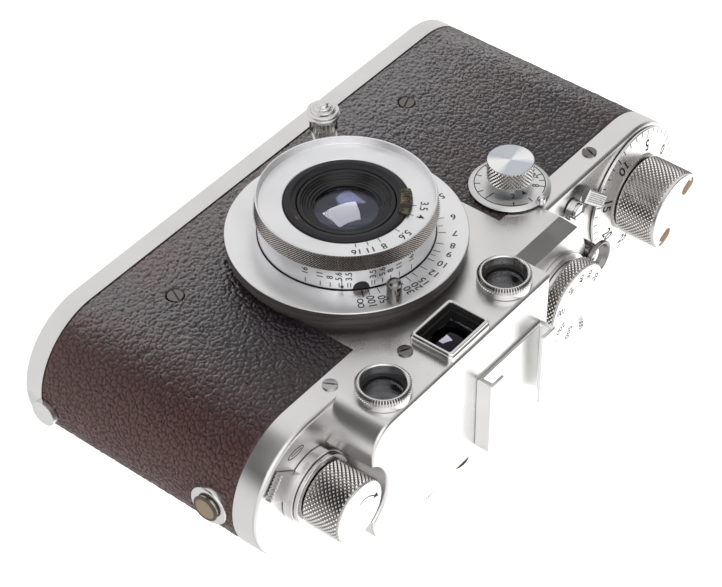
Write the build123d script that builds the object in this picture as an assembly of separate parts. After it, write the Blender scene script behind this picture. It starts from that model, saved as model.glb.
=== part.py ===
"""35 mm rangefinder camera with a collapsible lens, bottom loading. Millimetres.

+Z is up through the top cover, the lens looks along -Y and +X is the viewer's right.
The floor is Z = 0. "Depth" below counts forward (-Y) from the front plane of the body.
"""
from build123d import *
import math
import os

os.makedirs("parts", exist_ok=True)

# body
body_length = 136.0
body_depth = 31.0
front_y = -10.4
mid_y = front_y + body_depth / 2
back_y = front_y + body_depth
leather_t = 0.6
shell_wall = 1.8
base_h = 4.5
leather_top = 52.6
deck_z = 58.0
cover_t = 1.0
deck_round = 0.9
finder_round = 0.8
base_round = 0.9
end_x = body_length / 2 - body_depth / 2
apron_left = -13.5
apron_right = 32.5
fit_gap = 0.05

# finder housing
finder_top = 69.6
shelf_z = 64.0
shelf_chamfer = 2.9
step_x = -7.0
shelf_round_x = -6.0
shelf_round_r = 22.2
finder_right = 48.0
finder_corner = 5.7
finder_back = 20.0
window_z = 63.75
window_left_x = 0.16
window_right_x = 37.7
window_r = 4.35
bezel_r = 5.28
bezel_depth = 2.6
view_x = 18.1
view_z = 64.25
view_w = 12.8
view_h = 10.1
view_open_w = 11.0
view_open_h = 8.1
view_eye_x = 18.1
range_eye_x = 28.4
eye_r = 4.4
eye_back = 23.0

# top controls
wind_x = -53.0
wind_r = 8.7
wind_bottom = 60.0
wind_top = 69.7
counter_r = 14.5
speed_x = -17.6
speed_r = 9.0
speed_top = 69.7
release_x = -30.9
collar_r = 4.1
collar_top = 65.6
rewind_x = end_x
rewind_r = 6.7
rewind_bottom = 61.4
rewind_top = 70.0
lever_x = -30.7
lever_y = -4.9
slow_x = -23.1
slow_z = 48.1
slow_r = 8.3
slow_face = 1.1
slow_top = 7.1

# lens, depths measured forward from the front plane
lens_x = 10.8
lens_z = 33.6
mount_face = 1.4
flange_r = 23.76
flange_face = 4.43
rim_r = 18.0
rim_face = 12.6
ring_face = 12.2
inner_r = 12.2
grip_back = 8.1
handle_angle = 228.0
handle_r = 29.3
handle_face = 11.8

# film
gate_w = 36.0
gate_h = 24.0
film_plane_y = 17.0
crate_left = -27.0
crate_right = 36.0
crate_front = -7.9
crate_back = 15.4
crate_low = 6.0
crate_top = 50.0
arm_pivot_x = 27.0
arm_pivot_y = -3.5

# base
hook_x = 62.5
key_x = -46.0
key_r = 8.5
tripod_x = 44.0
tripod_r = 3.175
tripod_depth = 5.0


def block(x0, x1, y0, y1, z0, z1):
    return Pos((x0 + x1) / 2, (y0 + y1) / 2, (z0 + z1) / 2) * Box(x1 - x0, y1 - y0, z1 - z0)


def post(x, y, r, z0, z1):
    return Pos(x, y, (z0 + z1) / 2) * Cylinder(r, z1 - z0)


def ring(x, y, r_in, r_out, z0, z1):
    return post(x, y, r_out, z0, z1) - post(x, y, r_in, z0 - 1, z1 + 1)


def rod_y(x, z, r, y0, y1):
    return Pos(x, (y0 + y1) / 2, z) * (Rot(90, 0, 0) * Cylinder(r, y1 - y0))


def rod_x(y, z, r, x0, x1):
    return Pos((x0 + x1) / 2, y, z) * (Rot(0, 90, 0) * Cylinder(r, x1 - x0))


def front_disc(x, z, r, back, face):
    """Disc whose depths forward of the front plane run from back to face."""
    return rod_y(x, z, r, front_y - face, front_y - back)


def front_ring(x, z, r_in, r_out, back, face):
    return front_disc(x, z, r_out, back, face) - front_disc(x, z, r_in, back - 1, face + 1)


def lens_ring(r_in, r_out, back, face):
    return front_ring(lens_x, lens_z, r_in, r_out, back, face)


def oval(inset, z0, z1):
    """Rounded-end footprint of the body, pulled in by inset."""
    r = body_depth / 2 - inset
    middle = block(-end_x, end_x, mid_y - r, mid_y + r, z0, z1)
    return middle + post(-end_x, mid_y, r, z0, z1) + post(end_x, mid_y, r, z0, z1)


def lathe_z(x, y, profile):
    """Turned part about Z from (radius, height) points."""
    face = make_face(Polyline([(r, 0, z) for r, z in profile], close=True))
    return Pos(x, y, 0) * revolve(face, Axis.Z)


def lathe_front(x, z, profile):
    """Turned part about Y from (radius, depth) points."""
    face = make_face(Polyline([(r, -d, 0) for r, d in profile], close=True))
    return Pos(x, front_y, z) * revolve(face, Axis.Y)


def slotted_screw(head_r, head_t, shank_r, shank_l, slot):
    """Screw pointing down -Z with its head's underside at the origin."""
    screw = post(0, 0, head_r, 0, head_t) + post(0, 0, shank_r, -shank_l, 0)
    return screw - block(-head_r, head_r, -slot / 2, slot / 2, head_t - slot, head_t + 1)


def front_screw(x, z, depth, head_r, turn):
    screw = slotted_screw(head_r, 0.5, head_r * 0.45, 0.9, 0.35)
    return Pos(x, front_y - depth, z) * (Rot(90, 0, 0) * (Rot(0, 0, turn) * screw))


def round_top(shape, radius):
    return fillet(shape.edges().group_by(Axis.Z)[-1], radius)


def save(name, shape):
    export_step(shape, os.path.join("parts", name + ".step"))


# ---- body shell, covering and top cover ----
shell = oval(leather_t, base_h, leather_top) - oval(leather_t + shell_wall, base_h - 1, leather_top + 1)
lip = oval(cover_t + 0.15, 1.3, base_h) - oval(leather_t + shell_wall, 1.0, base_h + 1)
shell = shell + lip
shell = shell - front_disc(lens_x, lens_z, 20.0, -6.0, 2.0)
shell = shell - front_disc(slow_x, slow_z, 1.6, -6.0, 2.0)
screw_spots = [(41.8, 16.5), (-31.9, 15.3)]
for sx, sz in screw_spots:
    shell = shell - front_disc(sx, sz, 0.75, -1.6, 1.0)
save("body_shell", shell)

apron_cut = block(apron_left, apron_right, front_y - 1, front_y + leather_t, lens_z, leather_top + 1)
leather = oval(0, base_h, leather_top) - oval(leather_t, base_h - 1, leather_top + 1)
leather = leather - apron_cut - front_disc(lens_x, lens_z, 22.5, -3.0, 2.0)
leather = leather - front_disc(slow_x, slow_z, 1.7, -3.0, 2.0)
for sx, sz in screw_spots:
    leather = leather - front_disc(sx, sz, 1.75, -3.0, 2.0)
save("leather_covering", leather)

case_screws = [front_screw(screw_spots[0][0], screw_spots[0][1], -leather_t, 1.65, 65),
               front_screw(screw_spots[1][0], screw_spots[1][1], -leather_t, 1.65, 20)]


def finder_outline(inset, z0, z1):
    """Tall part of the finder housing, pulled in by inset."""
    tall = block(step_x + inset, finder_right - inset, front_y + inset, finder_back - inset, z0, z1)
    tall = fillet(tall.edges().filter_by(Axis.Z).group_by(Axis.X)[-1], finder_corner - inset)
    return tall - post(rewind_x, mid_y, 8.7 + inset, z0 - 1, z1 + 1)


def shelf_outline(inset, z0, z1):
    """Low shelf of the housing that carries the speed dial."""
    low = block(-40, step_x + 2, front_y + inset, finder_back - inset, z0, z1)
    return low & post(shelf_round_x, mid_y, shelf_round_r - inset, z0 - 1, z1 + 1)


shelf = shelf_outline(0, deck_z - cover_t, shelf_z)
bevel_shift = -shelf_chamfer / 2 * math.sqrt(2)
bevel = Pos(0, front_y, shelf_z) * (Rot(45, 0, 0) * block(-40, step_x, -9, 9, bevel_shift, 9))
shelf = shelf - bevel
cover = round_top(oval(0, leather_top, deck_z), deck_round)
cover = cover - oval(cover_t, leather_top - 1, deck_z - cover_t)
cover = cover + shelf + round_top(finder_outline(0, deck_z - cover_t, finder_top), finder_round)
cover = cover - finder_outline(cover_t, deck_z - cover_t - 1, finder_top - cover_t)
cover = cover - block(speed_x - 7.5, step_x + 1.5, -7.0, 14.0, deck_z - 3, shelf_z - 1.5)
apron = block(apron_left, apron_right, front_y, front_y + leather_t, lens_z, leather_top)
apron = apron - front_disc(lens_x, lens_z, 22.45, -3.0, 2.0)
cover = cover + apron
cover = cover - front_disc(lens_x, lens_z, 22.45, -leather_t, 2.0)
cover = cover - front_disc(lens_x, lens_z, 20.0, -6.0, 2.0)
cover = cover - post(wind_x, mid_y, 2.55, deck_z - 3, deck_z + 2)
cover = cover - post(release_x, mid_y, 1.25, deck_z - 3, deck_z + 2)
cover = cover - post(speed_x, mid_y, 3.0, deck_z - 3, shelf_z + 2)
cover = cover - post(rewind_x, mid_y, 2.05, deck_z - 3, deck_z + 2)
cover = cover - front_disc(window_left_x, window_z, 4.6, -4.0, 2.0)
cover = cover - front_disc(window_right_x, window_z, 4.6, -4.0, 2.0)
cover = cover - block(view_x - 5.8, view_x + 5.8, front_y - 2, front_y + 4, view_z - 4.3, view_z + 4.3)
cover = cover - rod_y(view_eye_x, view_z, 3.6, finder_back - 3, finder_back + 2)
cover = cover - rod_y(range_eye_x, view_z, 3.6, finder_back - 3, finder_back + 2)
strip_screws = [(-41.7, 54.6, 70), (42.4, 55.0, 120), (26.9, 60.4, 150)]
for sx, sz, turn in strip_screws:
    cover = cover - front_disc(sx, sz, 0.75, -1.6, 1.0)
save("top_cover", cover)

case_screws += [front_screw(sx, sz, 0, 1.55, turn) for sx, sz, turn in strip_screws]

# ---- finder windows and eyepieces ----
bezels = []
panes = []
for wx in (window_left_x, window_right_x):
    bezel = front_ring(wx, window_z, window_r, bezel_r, 0.0, bezel_depth)
    bezels.append(bezel + front_ring(wx, window_z, 3.9, 4.55, -3.0, 0.4))
    panes.append(front_disc(wx, window_z, 3.85, -1.4, -0.6))
save("rangefinder_bezels", Compound(children=bezels))

frame = block(view_x - view_w / 2, view_x + view_w / 2, front_y - 2.0, front_y,
              view_z - view_h / 2, view_z + view_h / 2)
frame = frame + block(view_x - 5.75, view_x + 5.75, front_y, front_y + 2.0, view_z - 4.25, view_z + 4.25)
frame = frame - block(view_x - view_open_w / 2, view_x + view_open_w / 2, front_y - 3, front_y - 0.6,
                      view_z - view_open_h / 2, view_z + view_open_h / 2)
frame = frame - block(view_x - 4.9, view_x + 4.9, front_y - 3, front_y + 3, view_z - 3.5, view_z + 3.5)
save("viewfinder_frame", frame)
panes.append(block(view_x - 5.4, view_x + 5.4, front_y - 1.4, front_y - 0.6, view_z - 3.95, view_z + 3.95))

eyes = []
for ex in (view_eye_x, range_eye_x):
    eye = rod_y(ex, view_z, eye_r, finder_back, eye_back)
    eye = eye + rod_y(ex, view_z, 3.55, finder_back - 3.0, finder_back)
    eye = eye - rod_y(ex, view_z, 2.6, finder_back - 4, eye_back + 1)
    eye = eye - rod_y(ex, view_z, 3.4, eye_back - 1.0, eye_back + 1)
    eyes.append(eye)
    panes.append(rod_y(ex, view_z, 2.55, finder_back - 0.5, finder_back + 0.7))
save("eyepieces", Compound(children=eyes))
save("finder_glasses", Compound(children=panes))

chassis = block(-4.0, 44.0, -6.5, 10.0, 58.6, 59.6) & finder_outline(1.3, 58.0, 60.0)
chassis = chassis + block(view_x - 5.6, view_x + 5.6, front_y + 2.1, finder_back - 3.2, 59.6, view_z + 4.2)
chassis = chassis - block(view_x - 4.8, view_x + 4.8, front_y, finder_back, view_z - 3.6, view_z + 3.4)
save("finder_chassis", chassis)
mirror = Pos(range_eye_x, 2.0, 63.6) * (Rot(0, 0, 45) * Box(9.0, 0.8, 7.8))
mirror = mirror + block(range_eye_x - 3.0, range_eye_x + 3.0, -0.8, 4.8, 59.6, 60.0)
prism = extrude(make_face(Polyline([(-4, -4, 0), (4, -4, 0), (-4, 4, 0)], close=True)), 8.0)
save("rangefinder_prisms", Compound(children=[mirror, Pos(window_left_x + 1.0, 1.0, 59.6) * prism]))

# ---- accessory shoe ----
shoe_x = 6.0
shoe_y = 8.6
shoe_w = 21.2
shoe_l = 18.0
shoe_base = 0.7
shoe_clear = 2.1
shoe_inner = 18.6
shoe_mouth = 12.6
shoe = block(shoe_x - shoe_w / 2, shoe_x + shoe_w / 2, shoe_y - shoe_l / 2, shoe_y + shoe_l / 2,
             finder_top, finder_top + shoe_base + shoe_clear + 0.7)
slot_low = finder_top + shoe_base
shoe = shoe - block(shoe_x - shoe_inner / 2, shoe_x + shoe_inner / 2, shoe_y - shoe_l, shoe_y + shoe_l,
                    slot_low, slot_low + shoe_clear)
shoe = shoe - block(shoe_x - shoe_mouth / 2, shoe_x + shoe_mouth / 2, shoe_y - shoe_l, shoe_y + shoe_l,
                    slot_low, slot_low + 9)
shoe_spots = [(sx, sy) for sx in (-3.6, 3.6) for sy in (-5.6, 5.6)]
for sx, sy in shoe_spots:
    shoe = shoe - post(shoe_x + sx, shoe_y + sy, 1.3, finder_top - 1, slot_low + 1)
save("accessory_shoe", shoe)
heads = []
for sx, sy in shoe_spots:
    head = post(shoe_x + sx, shoe_y + sy, 1.25, finder_top, slot_low - 0.05)
    head = head - block(shoe_x + sx - 2, shoe_x + sx + 2, shoe_y + sy - 0.15, shoe_y + sy + 0.15,
                        slot_low - 0.35, slot_low + 1)
    heads.append(head)
save("shoe_screws", Compound(children=heads))

# ---- strap lugs ----
lug_z = 47.2
x0 = body_length / 2
lugs = []
for turn in (0, 180):
    lug = rod_x(mid_y, lug_z, 4.2, x0 - 1.0, x0 + 0.7) + rod_x(mid_y, lug_z, 2.0, x0 + 0.7, x0 + 1.0)
    lug = lug + rod_x(mid_y, lug_z, 2.8, x0 + 1.0, x0 + 1.7)
    lug = lug - oval(0, lug_z - 9, lug_z + 9)
    lugs.append(Pos(0, mid_y, 0) * (Rot(0, 0, turn) * (Pos(0, -mid_y, 0) * lug)))
save("strap_lugs", Compound(children=lugs))

# ---- winding ----
counter = lathe_z(wind_x, mid_y, [(2.55, 58.15), (counter_r, 58.15), (counter_r, 58.8),
                                  (9.4, 59.8), (2.55, 59.8)])
save("frame_counter_dial", counter)
knob = lathe_z(wind_x, mid_y, [(0, 61.0), (2.55, 61.0), (2.55, wind_bottom), (8.4, wind_bottom),
                               (wind_r, wind_bottom + 0.4), (wind_r, wind_top - 0.5),
                               (wind_r - 0.5, wind_top), (0, wind_top)])
for side in (-1, 1):
    knob = knob - Pos(wind_x, mid_y, 0) * (Rot(0, 0, 60) * block(
        side * 6.6 - 1.5, side * 6.6 + 1.5, -0.8, 0.8, wind_top - 1.2, wind_top + 1))
save("wind_knob", knob)
save("wind_shaft", post(wind_x, mid_y, 2.5, 7.0, 61.0))
spool = ring(wind_x, mid_y, 2.55, 5.6, 9.0, 46.0)
spool = spool + ring(wind_x, mid_y, 2.55, 11.0, 8.0, 9.2) + ring(wind_x, mid_y, 2.55, 11.0, 45.0, 46.2)
save("takeup_spool", spool)
sprocket_x = -35.0
sprocket_y = 11.0
sprocket = post(sprocket_x, sprocket_y, 3.6, 14.0, 42.0)
for wheel_z in (15.5, 38.7):
    sprocket = sprocket + post(sprocket_x, sprocket_y, 5.6, wheel_z, wheel_z + 1.8)
for turn in range(8):
    for wheel_z in (16.0, 39.2):
        tooth = block(5.0, 6.6, -0.5, 0.5, wheel_z, wheel_z + 0.8)
        sprocket = sprocket + Pos(sprocket_x, sprocket_y, 0) * (Rot(0, 0, turn * 45) * tooth)
sprocket = sprocket + post(sprocket_x, sprocket_y, 1.5, 8.0, 50.0)
save("film_sprocket", sprocket)

# ---- shutter controls ----
save("sync_ring", ring(speed_x, mid_y, 3.0, speed_r, shelf_z, shelf_z + 1.0))
core = post(speed_x, mid_y, 2.95, 52.0, 67.0)
save("speed_core", core)
dial = lathe_z(speed_x, mid_y, [(0, 67.1), (3.0, 67.1), (3.0, 65.1), (7.4, 65.1), (7.4, 66.0),
                                (speed_r, 66.4), (speed_r, speed_top - 0.4), (speed_r - 0.4, speed_top),
                                (0, speed_top)])
save("speed_dial", dial)
collar = lathe_z(release_x, mid_y, [(2.05, deck_z), (2.55, deck_z), (2.55, shelf_z + 0.3),
                                    (collar_r, shelf_z + 0.9), (collar_r, collar_top),
                                    (3.5, collar_top), (3.0, shelf_z + 0.6),
                                    (2.05, shelf_z - 0.2)])
save("release_collar", collar)
button = post(release_x, mid_y, 2.0, 62.2, 64.4) + post(release_x, mid_y, 1.2, 46.0, 62.2)
save("release_button", button)
lever = ring(lever_x, lever_y, 1.05, 2.4, 58.2, 59.6)
lever = lever + block(lever_x - 6.5, lever_x - 1.8, lever_y - 1.1, lever_y + 1.1, 58.9, 59.6)
pad = Pos(lever_x - 5.2, lever_y - 0.25, 60.2) * (Rot(0, 0, 138) * Box(8.8, 3.0, 1.6))
lever = lever + pad
save("advance_rewind_lever", lever)
pivot = post(lever_x, lever_y, 1.0, deck_z, 59.7) + post(lever_x, lever_y, 1.8, 59.7, 60.5)
pivot = pivot - block(lever_x - 3, lever_x + 3, lever_y - 0.2, lever_y + 0.2, 60.1, 61)
case_screws.append(pivot)

save("slow_dial_base", front_ring(slow_x, slow_z, 1.55, 7.9, 0.0, 0.35))
plate = front_ring(slow_x, slow_z, 1.5, slow_r, 0.4, slow_face)
save("slow_dial_plate", plate + Pos(slow_x + 0.7, front_y - 1.4, slow_z + 8.2) * Sphere(0.9))
grip = front_disc(slow_x, slow_z, 4.8, slow_face + 1.9, slow_top)
grip = grip + front_disc(slow_x, slow_z, 3.0, slow_face, slow_face + 1.9)
grip = grip + front_disc(slow_x, slow_z, 1.5, -8.0, slow_face)
save("slow_dial_knob", grip)

# ---- rewinding ----
hub = ring(rewind_x, mid_y, 2.05, 5.95, deck_z, 60.3) + ring(rewind_x, mid_y, 2.05, 7.5, 60.3, 61.2)
save("rewind_collar", hub)
tab = block(7.0, 14.2, -2.9, 2.9, 58.1, 59.6)
diopter = ring(rewind_x, mid_y, 6.0, 7.9, 58.1, 60.2) + Pos(rewind_x, mid_y, 0) * (Rot(0, 0, -38) * tab)
save("diopter_lever", diopter)
shaft = post(rewind_x, mid_y, 2.0, 46.0, 66.0)
shaft = shaft - block(rewind_x - 3, rewind_x + 3, mid_y - 0.6, mid_y + 0.6, 45.0, 49.0)
save("rewind_shaft", shaft)
knob = lathe_z(rewind_x, mid_y, [(2.05, rewind_bottom), (6.3, rewind_bottom),
                                 (rewind_r, rewind_bottom + 0.4), (rewind_r, rewind_top - 0.4),
                                 (rewind_r - 0.4, rewind_top), (0, rewind_top), (0, 66.2), (2.05, 66.2)])
save("rewind_knob", knob)

# ---- shutter and film transport ----
crate = block(crate_left, crate_right, crate_front, crate_back, crate_low, crate_top)
crate = crate - block(crate_left + 1.2, crate_right - 1.2, crate_front + 1.2, crate_back - 1.2,
                      crate_low + 1.2, crate_top - 1.2)
crate = crate - front_disc(lens_x, lens_z, 20.6, -8.0, 2.0)
picture = block(lens_x - gate_w / 2, lens_x + gate_w / 2, 5, 20, lens_z - gate_h / 2, lens_z + gate_h / 2)
crate = crate - picture
crate = crate - post(speed_x, mid_y, 3.2, crate_top - 3, crate_top + 1)
crate = crate - front_disc(slow_x, slow_z, 1.6, -12, 2.0)
crate = crate + post(arm_pivot_x, arm_pivot_y, 0.8, crate_top - 6, crate_top - 1)
save("shutter_crate", crate)
gate = block(-13.0, 34.6, crate_back, film_plane_y, 15.6, 51.6)
gate = gate - picture
save("film_gate", gate)
save("pressure_plate", block(-11.0, 32.6, film_plane_y + 0.15, back_y - leather_t - shell_wall, 17.0, 50.2))
drum_x = -18.5
drum_y = 5.6
drum = post(drum_x, drum_y, 6.2, 12.0, 46.4) + post(drum_x, drum_y, 1.5, 7.3, 48.7)
save("curtain_drum", drum)
rollers = [post(31.0, ry, 2.4, 14.0, 46.4) + post(31.0, ry, 1.0, 7.3, 48.7) for ry in (9.4, 2.6)]
save("curtain_rollers", Compound(children=rollers))
save("first_curtain", block(drum_x, 31.0, drum_y + 6.25, drum_y + 6.5, 19.6, 46.0))
save("second_curtain", block(drum_x, -8.6, drum_y + 6.9, drum_y + 7.15, 19.6, 46.0))

# ---- lens mount and lens ----
mount = lens_ring(19.0, 22.4, -leather_t, mount_face) + lens_ring(19.0, 19.95, -5.6, -leather_t)
mount_spots = []
for turn in (45, 135, 225, 315):
    mx = lens_x + 20.9 * math.cos(math.radians(turn))
    mz = lens_z + 20.9 * math.sin(math.radians(turn))
    mount_spots.append((mx, mz))
    mount = mount - front_disc(mx, mz, 0.95, 0.6, 3.0)
save("lens_mount_ring", mount)
case_screws += [front_disc(mx, mz, 0.9, 0.6, 1.35) for mx, mz in mount_spots]
save("case_screws", Compound(children=case_screws))

flange = lens_ring(15.6, flange_r, mount_face, flange_face) + lens_ring(15.6, 18.95, -4.4, mount_face)
save("distance_flange", flange)
stop_angle = math.radians(62.8)
stop_x = lens_x + 21.9 * math.cos(stop_angle)
stop_z = lens_z + 21.9 * math.sin(stop_angle)
stop = front_disc(stop_x, stop_z, 1.5, flange_face, 8.0)
stop = stop + Pos(stop_x, front_y - 8.0, stop_z) * Sphere(1.5)
save("focus_stop_post", stop)

save("helicoid_ring", lens_ring(14.2, 15.55, -4.8, 4.3))
follower = block(lens_x, arm_pivot_x, arm_pivot_y - 0.5, arm_pivot_y + 0.5, 47.6, 48.6)
follower = follower + post(lens_x, -4.05, 1.5, 47.6, 48.6)
follower = follower + post(arm_pivot_x, arm_pivot_y, 1.25, 46.6, 48.6)
follower = follower - post(arm_pivot_x, arm_pivot_y, 0.85, 40, 50)
save("rangefinder_arm", follower)
barrel = lens_ring(13.0, 14.15, -4.8, 4.55) + lens_ring(13.0, 17.3, 4.55, 8.0)
barrel = barrel + lens_ring(17.0, 17.3, 8.0, 9.1)
save("focus_barrel", barrel)
arm = block(17.2, handle_r + 3.2, front_y - 6.2, front_y - 4.6, -3.0, 3.0)
arm = arm - Rot(90, 0, 0) * Cylinder(17.3, 80)
arm = Pos(lens_x, 0, lens_z) * (Rot(0, -handle_angle, 0) * arm)
handle_x = lens_x + handle_r * math.cos(math.radians(handle_angle))
handle_z = lens_z + handle_r * math.sin(math.radians(handle_angle))
arm = arm + front_disc(handle_x, handle_z, 2.7, 6.2, 8.4)
arm = arm - front_disc(handle_x, handle_z, 1.15, 5.2, 9.0)
save("focus_lever", arm)
cap = lathe_front(handle_x, handle_z, [(0, 9.9), (2.75, 9.9), (2.75, 8.3), (3.4, 8.3), (3.4, 9.8),
                                       (2.9, 10.2), (2.9, 10.8), (2.0, 11.1), (2.0, 11.5),
                                       (1.2, handle_face), (0, handle_face)])
cap = cap + front_disc(handle_x, handle_z, 1.1, 6.6, 9.9)
save("infinity_button", cap)

save("collapsing_tube", lens_ring(11.2, 12.95, -19.0, grip_back))
grip = lens_ring(11.2, 16.9, grip_back, 9.4) + lens_ring(16.8, rim_r, 9.2, 9.4)
grip = grip + lens_ring(17.4, rim_r, 9.4, rim_face)
save("lens_grip_ring", grip)
save("front_scale_ring", lens_ring(12.25, 17.4, 9.4, ring_face))
aperture = lens_ring(9.7, inner_r, 9.45, 12.1)
low = math.radians(106)
high = math.radians(142)
wedge = make_face(Polyline([(0, 0, 0), (30 * math.cos(low), 0, 30 * math.sin(low)),
                            (30 * math.cos(high), 0, 30 * math.sin(high))], close=True))
sector = Pos(lens_x, front_y - 20, lens_z) * extrude(wedge, 40, dir=(0, 1, 0))
tab = (lens_ring(10.4, 12.8, 12.25, 12.55) + lens_ring(10.4, 12.1, 12.0, 12.3)) & sector
save("aperture_ring", aperture + tab)
save("front_cell", lathe_front(lens_x, lens_z, [
    (6.5, 6.4), (11.2, 6.4), (11.2, 9.35), (9.65, 9.35), (9.65, 11.6), (9.0, 11.6), (7.2, 10.6), (7.2, 9.0),
    (6.5, 9.0)]))
save("front_element", lathe_front(lens_x, lens_z, [
    (0, 7.2), (6.45, 7.2), (6.45, 9.0), (7.15, 9.05), (7.15, 9.5), (5.0, 10.1), (2.6, 10.4), (0, 10.5)]))
save("iris_blades", lens_ring(4.6, 11.2, 5.6, 6.0))
save("rear_cell", lens_ring(6.0, 11.2, -2.0, 3.0))
save("rear_element", lathe_front(lens_x, lens_z, [
    (0, -2.6), (3.6, -2.2), (5.95, -1.4), (5.95, 1.4), (0, 0.9)]))

# ---- base ----
stud = rod_x(7.3, 5.4, 2.8, 64.0, body_length / 2 + 1.0)
base = fillet(oval(0, 0, base_h).edges().group_by(Axis.Z)[0], base_round) + stud
base = base - oval(0, base_h, 20) - oval(cover_t, 1.0, base_h + 1)
base = base + block(hook_x - 2.5, hook_x, mid_y - 3.0, mid_y + 3.0, 0.5, 2.4)
base = base - post(key_x, mid_y, key_r + fit_gap, -1, 2)
base = base - post(tripod_x, mid_y, 7.5, -1, 2)
save("base_plate", base)
bush = post(tripod_x, mid_y, 7.5, 0, 1.0) + post(tripod_x, mid_y, 8.6, 1.0, 2.0)
bush = bush + post(tripod_x, mid_y, 5.4, 2.0, 6.0)
bush = bush - post(tripod_x, mid_y, tripod_r, -1, tripod_depth)
save("tripod_bush", bush)
disc = post(key_x, mid_y, key_r, 0.1, 1.2) + post(key_x, mid_y, 9.4, 1.05, 1.8)
near_half = block(-60, -30, mid_y - 9, mid_y + 0.9, 0, 1.3)
disc = disc - (ring(key_x, mid_y, 4.0, 7.4, 0, 1.3) & near_half)
disc = disc - block(key_x - 7.4, key_x + 7.4, mid_y - 0.9, mid_y + 0.9, 0, 1.3)
disc = disc + post(key_x, mid_y, 3.0, 1.8, 2.8)
disc = disc + block(key_x - 8.0, key_x, mid_y - 1.5, mid_y + 1.5, 1.7, 2.8)
save("base_lock_disc", disc)
key = ring(key_x, mid_y, 4.3, 7.1, 0.2, 1.0) & block(-60, -30, mid_y - 9, mid_y, 0, 1.3)
key = key + rod_x(mid_y, 0.6, 0.4, key_x - 7.2, key_x + 7.2)
save("base_key", key)
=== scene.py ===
"""Looks of the rangefinder camera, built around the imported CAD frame.

Everything is in metres in the row frame: +Z up, the lens looks along -Y, +X is the viewer's right.
Profiles are (radius, height) points in millimetres, scaled by MM.
"""
import math

import bmesh
import bpy
from mathutils import Matrix, Vector
from mathutils import noise as noise_tools


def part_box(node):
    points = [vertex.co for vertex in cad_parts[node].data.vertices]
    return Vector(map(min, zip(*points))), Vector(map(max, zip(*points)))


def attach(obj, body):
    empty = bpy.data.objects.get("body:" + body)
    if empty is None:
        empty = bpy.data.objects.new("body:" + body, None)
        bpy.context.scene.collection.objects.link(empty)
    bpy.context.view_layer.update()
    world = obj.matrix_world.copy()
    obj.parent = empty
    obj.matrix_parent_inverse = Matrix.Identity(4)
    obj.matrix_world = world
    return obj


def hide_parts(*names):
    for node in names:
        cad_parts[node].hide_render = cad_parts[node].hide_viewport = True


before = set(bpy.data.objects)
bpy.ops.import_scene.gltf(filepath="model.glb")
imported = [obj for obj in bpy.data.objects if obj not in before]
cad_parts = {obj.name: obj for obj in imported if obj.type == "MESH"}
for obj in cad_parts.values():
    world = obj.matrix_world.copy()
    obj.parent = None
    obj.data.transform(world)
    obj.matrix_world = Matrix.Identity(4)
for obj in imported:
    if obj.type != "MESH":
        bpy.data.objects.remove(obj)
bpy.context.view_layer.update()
MM = 0.001
TAU = 2 * math.pi


def low_of(name):
    return Vector(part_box(name)[0])


def high_of(name):
    return Vector(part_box(name)[1])


def middle(name):
    return (low_of(name) + high_of(name)) / 2


# ------------------------------------------------------------------ places read from the frame
front_y = low_of("top_cover").y
axis_wind = middle("wind_knob")
axis_rewind = middle("rewind_knob")
axis_speed = middle("speed_dial")
axis_lens = middle("distance_flange")
axis_slow = middle("slow_dial_knob")
deck = low_of("release_collar").z / MM
shelf = low_of("sync_ring").z / MM
roof = low_of("accessory_shoe").z / MM
wind_base = low_of("wind_knob").z / MM
wind_top = high_of("wind_knob").z / MM
leather_low = low_of("leather_covering")
leather_high = high_of("leather_covering")
apron_left, apron_right = -13.5, 32.5


# ------------------------------------------------------------------ shader nodes
def fill(tree, made, sockets):
    """Links each given output to an input, or sets the input's own value."""
    for key, value in sockets.items():
        if isinstance(value, bpy.types.NodeSocket):
            tree.links.new(value, made.inputs[key])
        else:
            made.inputs[key].default_value = value


def node(tree, kind, sockets=None, out=0, **settings):
    """Adds a node, with its settings and inputs, and returns one of its outputs."""
    made = tree.nodes.new(kind if "Node" in kind else "ShaderNode" + kind)
    for key, value in settings.items():
        setattr(made, key, value)
    fill(tree, made, sockets or {})
    return made.outputs[out]


def new_material(name):
    """An empty material: its tree and its output node."""
    mat = bpy.data.materials.new(name)
    mat.use_nodes = True
    tree = mat.node_tree
    tree.nodes.clear()
    return mat, tree, tree.nodes.new("ShaderNodeOutputMaterial")


def principled(name):
    mat, tree, out = new_material(name)
    shader = tree.nodes.new("ShaderNodeBsdfPrincipled")
    fill(tree, out, {"Surface": shader.outputs["BSDF"]})
    return mat, tree, shader


def in_place(tree):
    """Object coordinates, which are the row frame."""
    return node(tree, "TexCoord", out="Object")


def axes(tree, vector):
    made = tree.nodes.new("ShaderNodeSeparateXYZ")
    fill(tree, made, {0: vector})
    return made.outputs


def noise(tree, scale, detail=4.0):
    return node(tree, "TexNoise", {"Vector": in_place(tree), "Scale": scale, "Detail": detail})


def ramp(tree, source, stops):
    """Colour ramp over a 0 to 1 value; stops are (place, grey or colour)."""
    made = tree.nodes.new("ShaderNodeValToRGB")
    fill(tree, made, {"Fac": source})
    for element, (place, colour) in zip(made.color_ramp.elements, stops):
        element.position = place
        element.color = (*colour, 1) if isinstance(colour, tuple) else (colour, colour, colour, 1)
    return made.outputs[0]


def maths(tree, operation, *values):
    return node(tree, "Math", dict(enumerate(values)), operation=operation)


def smooth_mask(tree, value, start, end):
    """0 to 1, smoothly, as value goes from start to end."""
    ends = {"From Min": start, "From Max": end, "Value": value}
    return node(tree, "MapRange", ends, interpolation_type="SMOOTHSTEP")


def blend(tree, amount, first, second):
    """Mix of two colours."""
    return node(tree, "Mix", {"Factor": amount, "A": first, "B": second}, "Result", data_type="RGBA")


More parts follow.
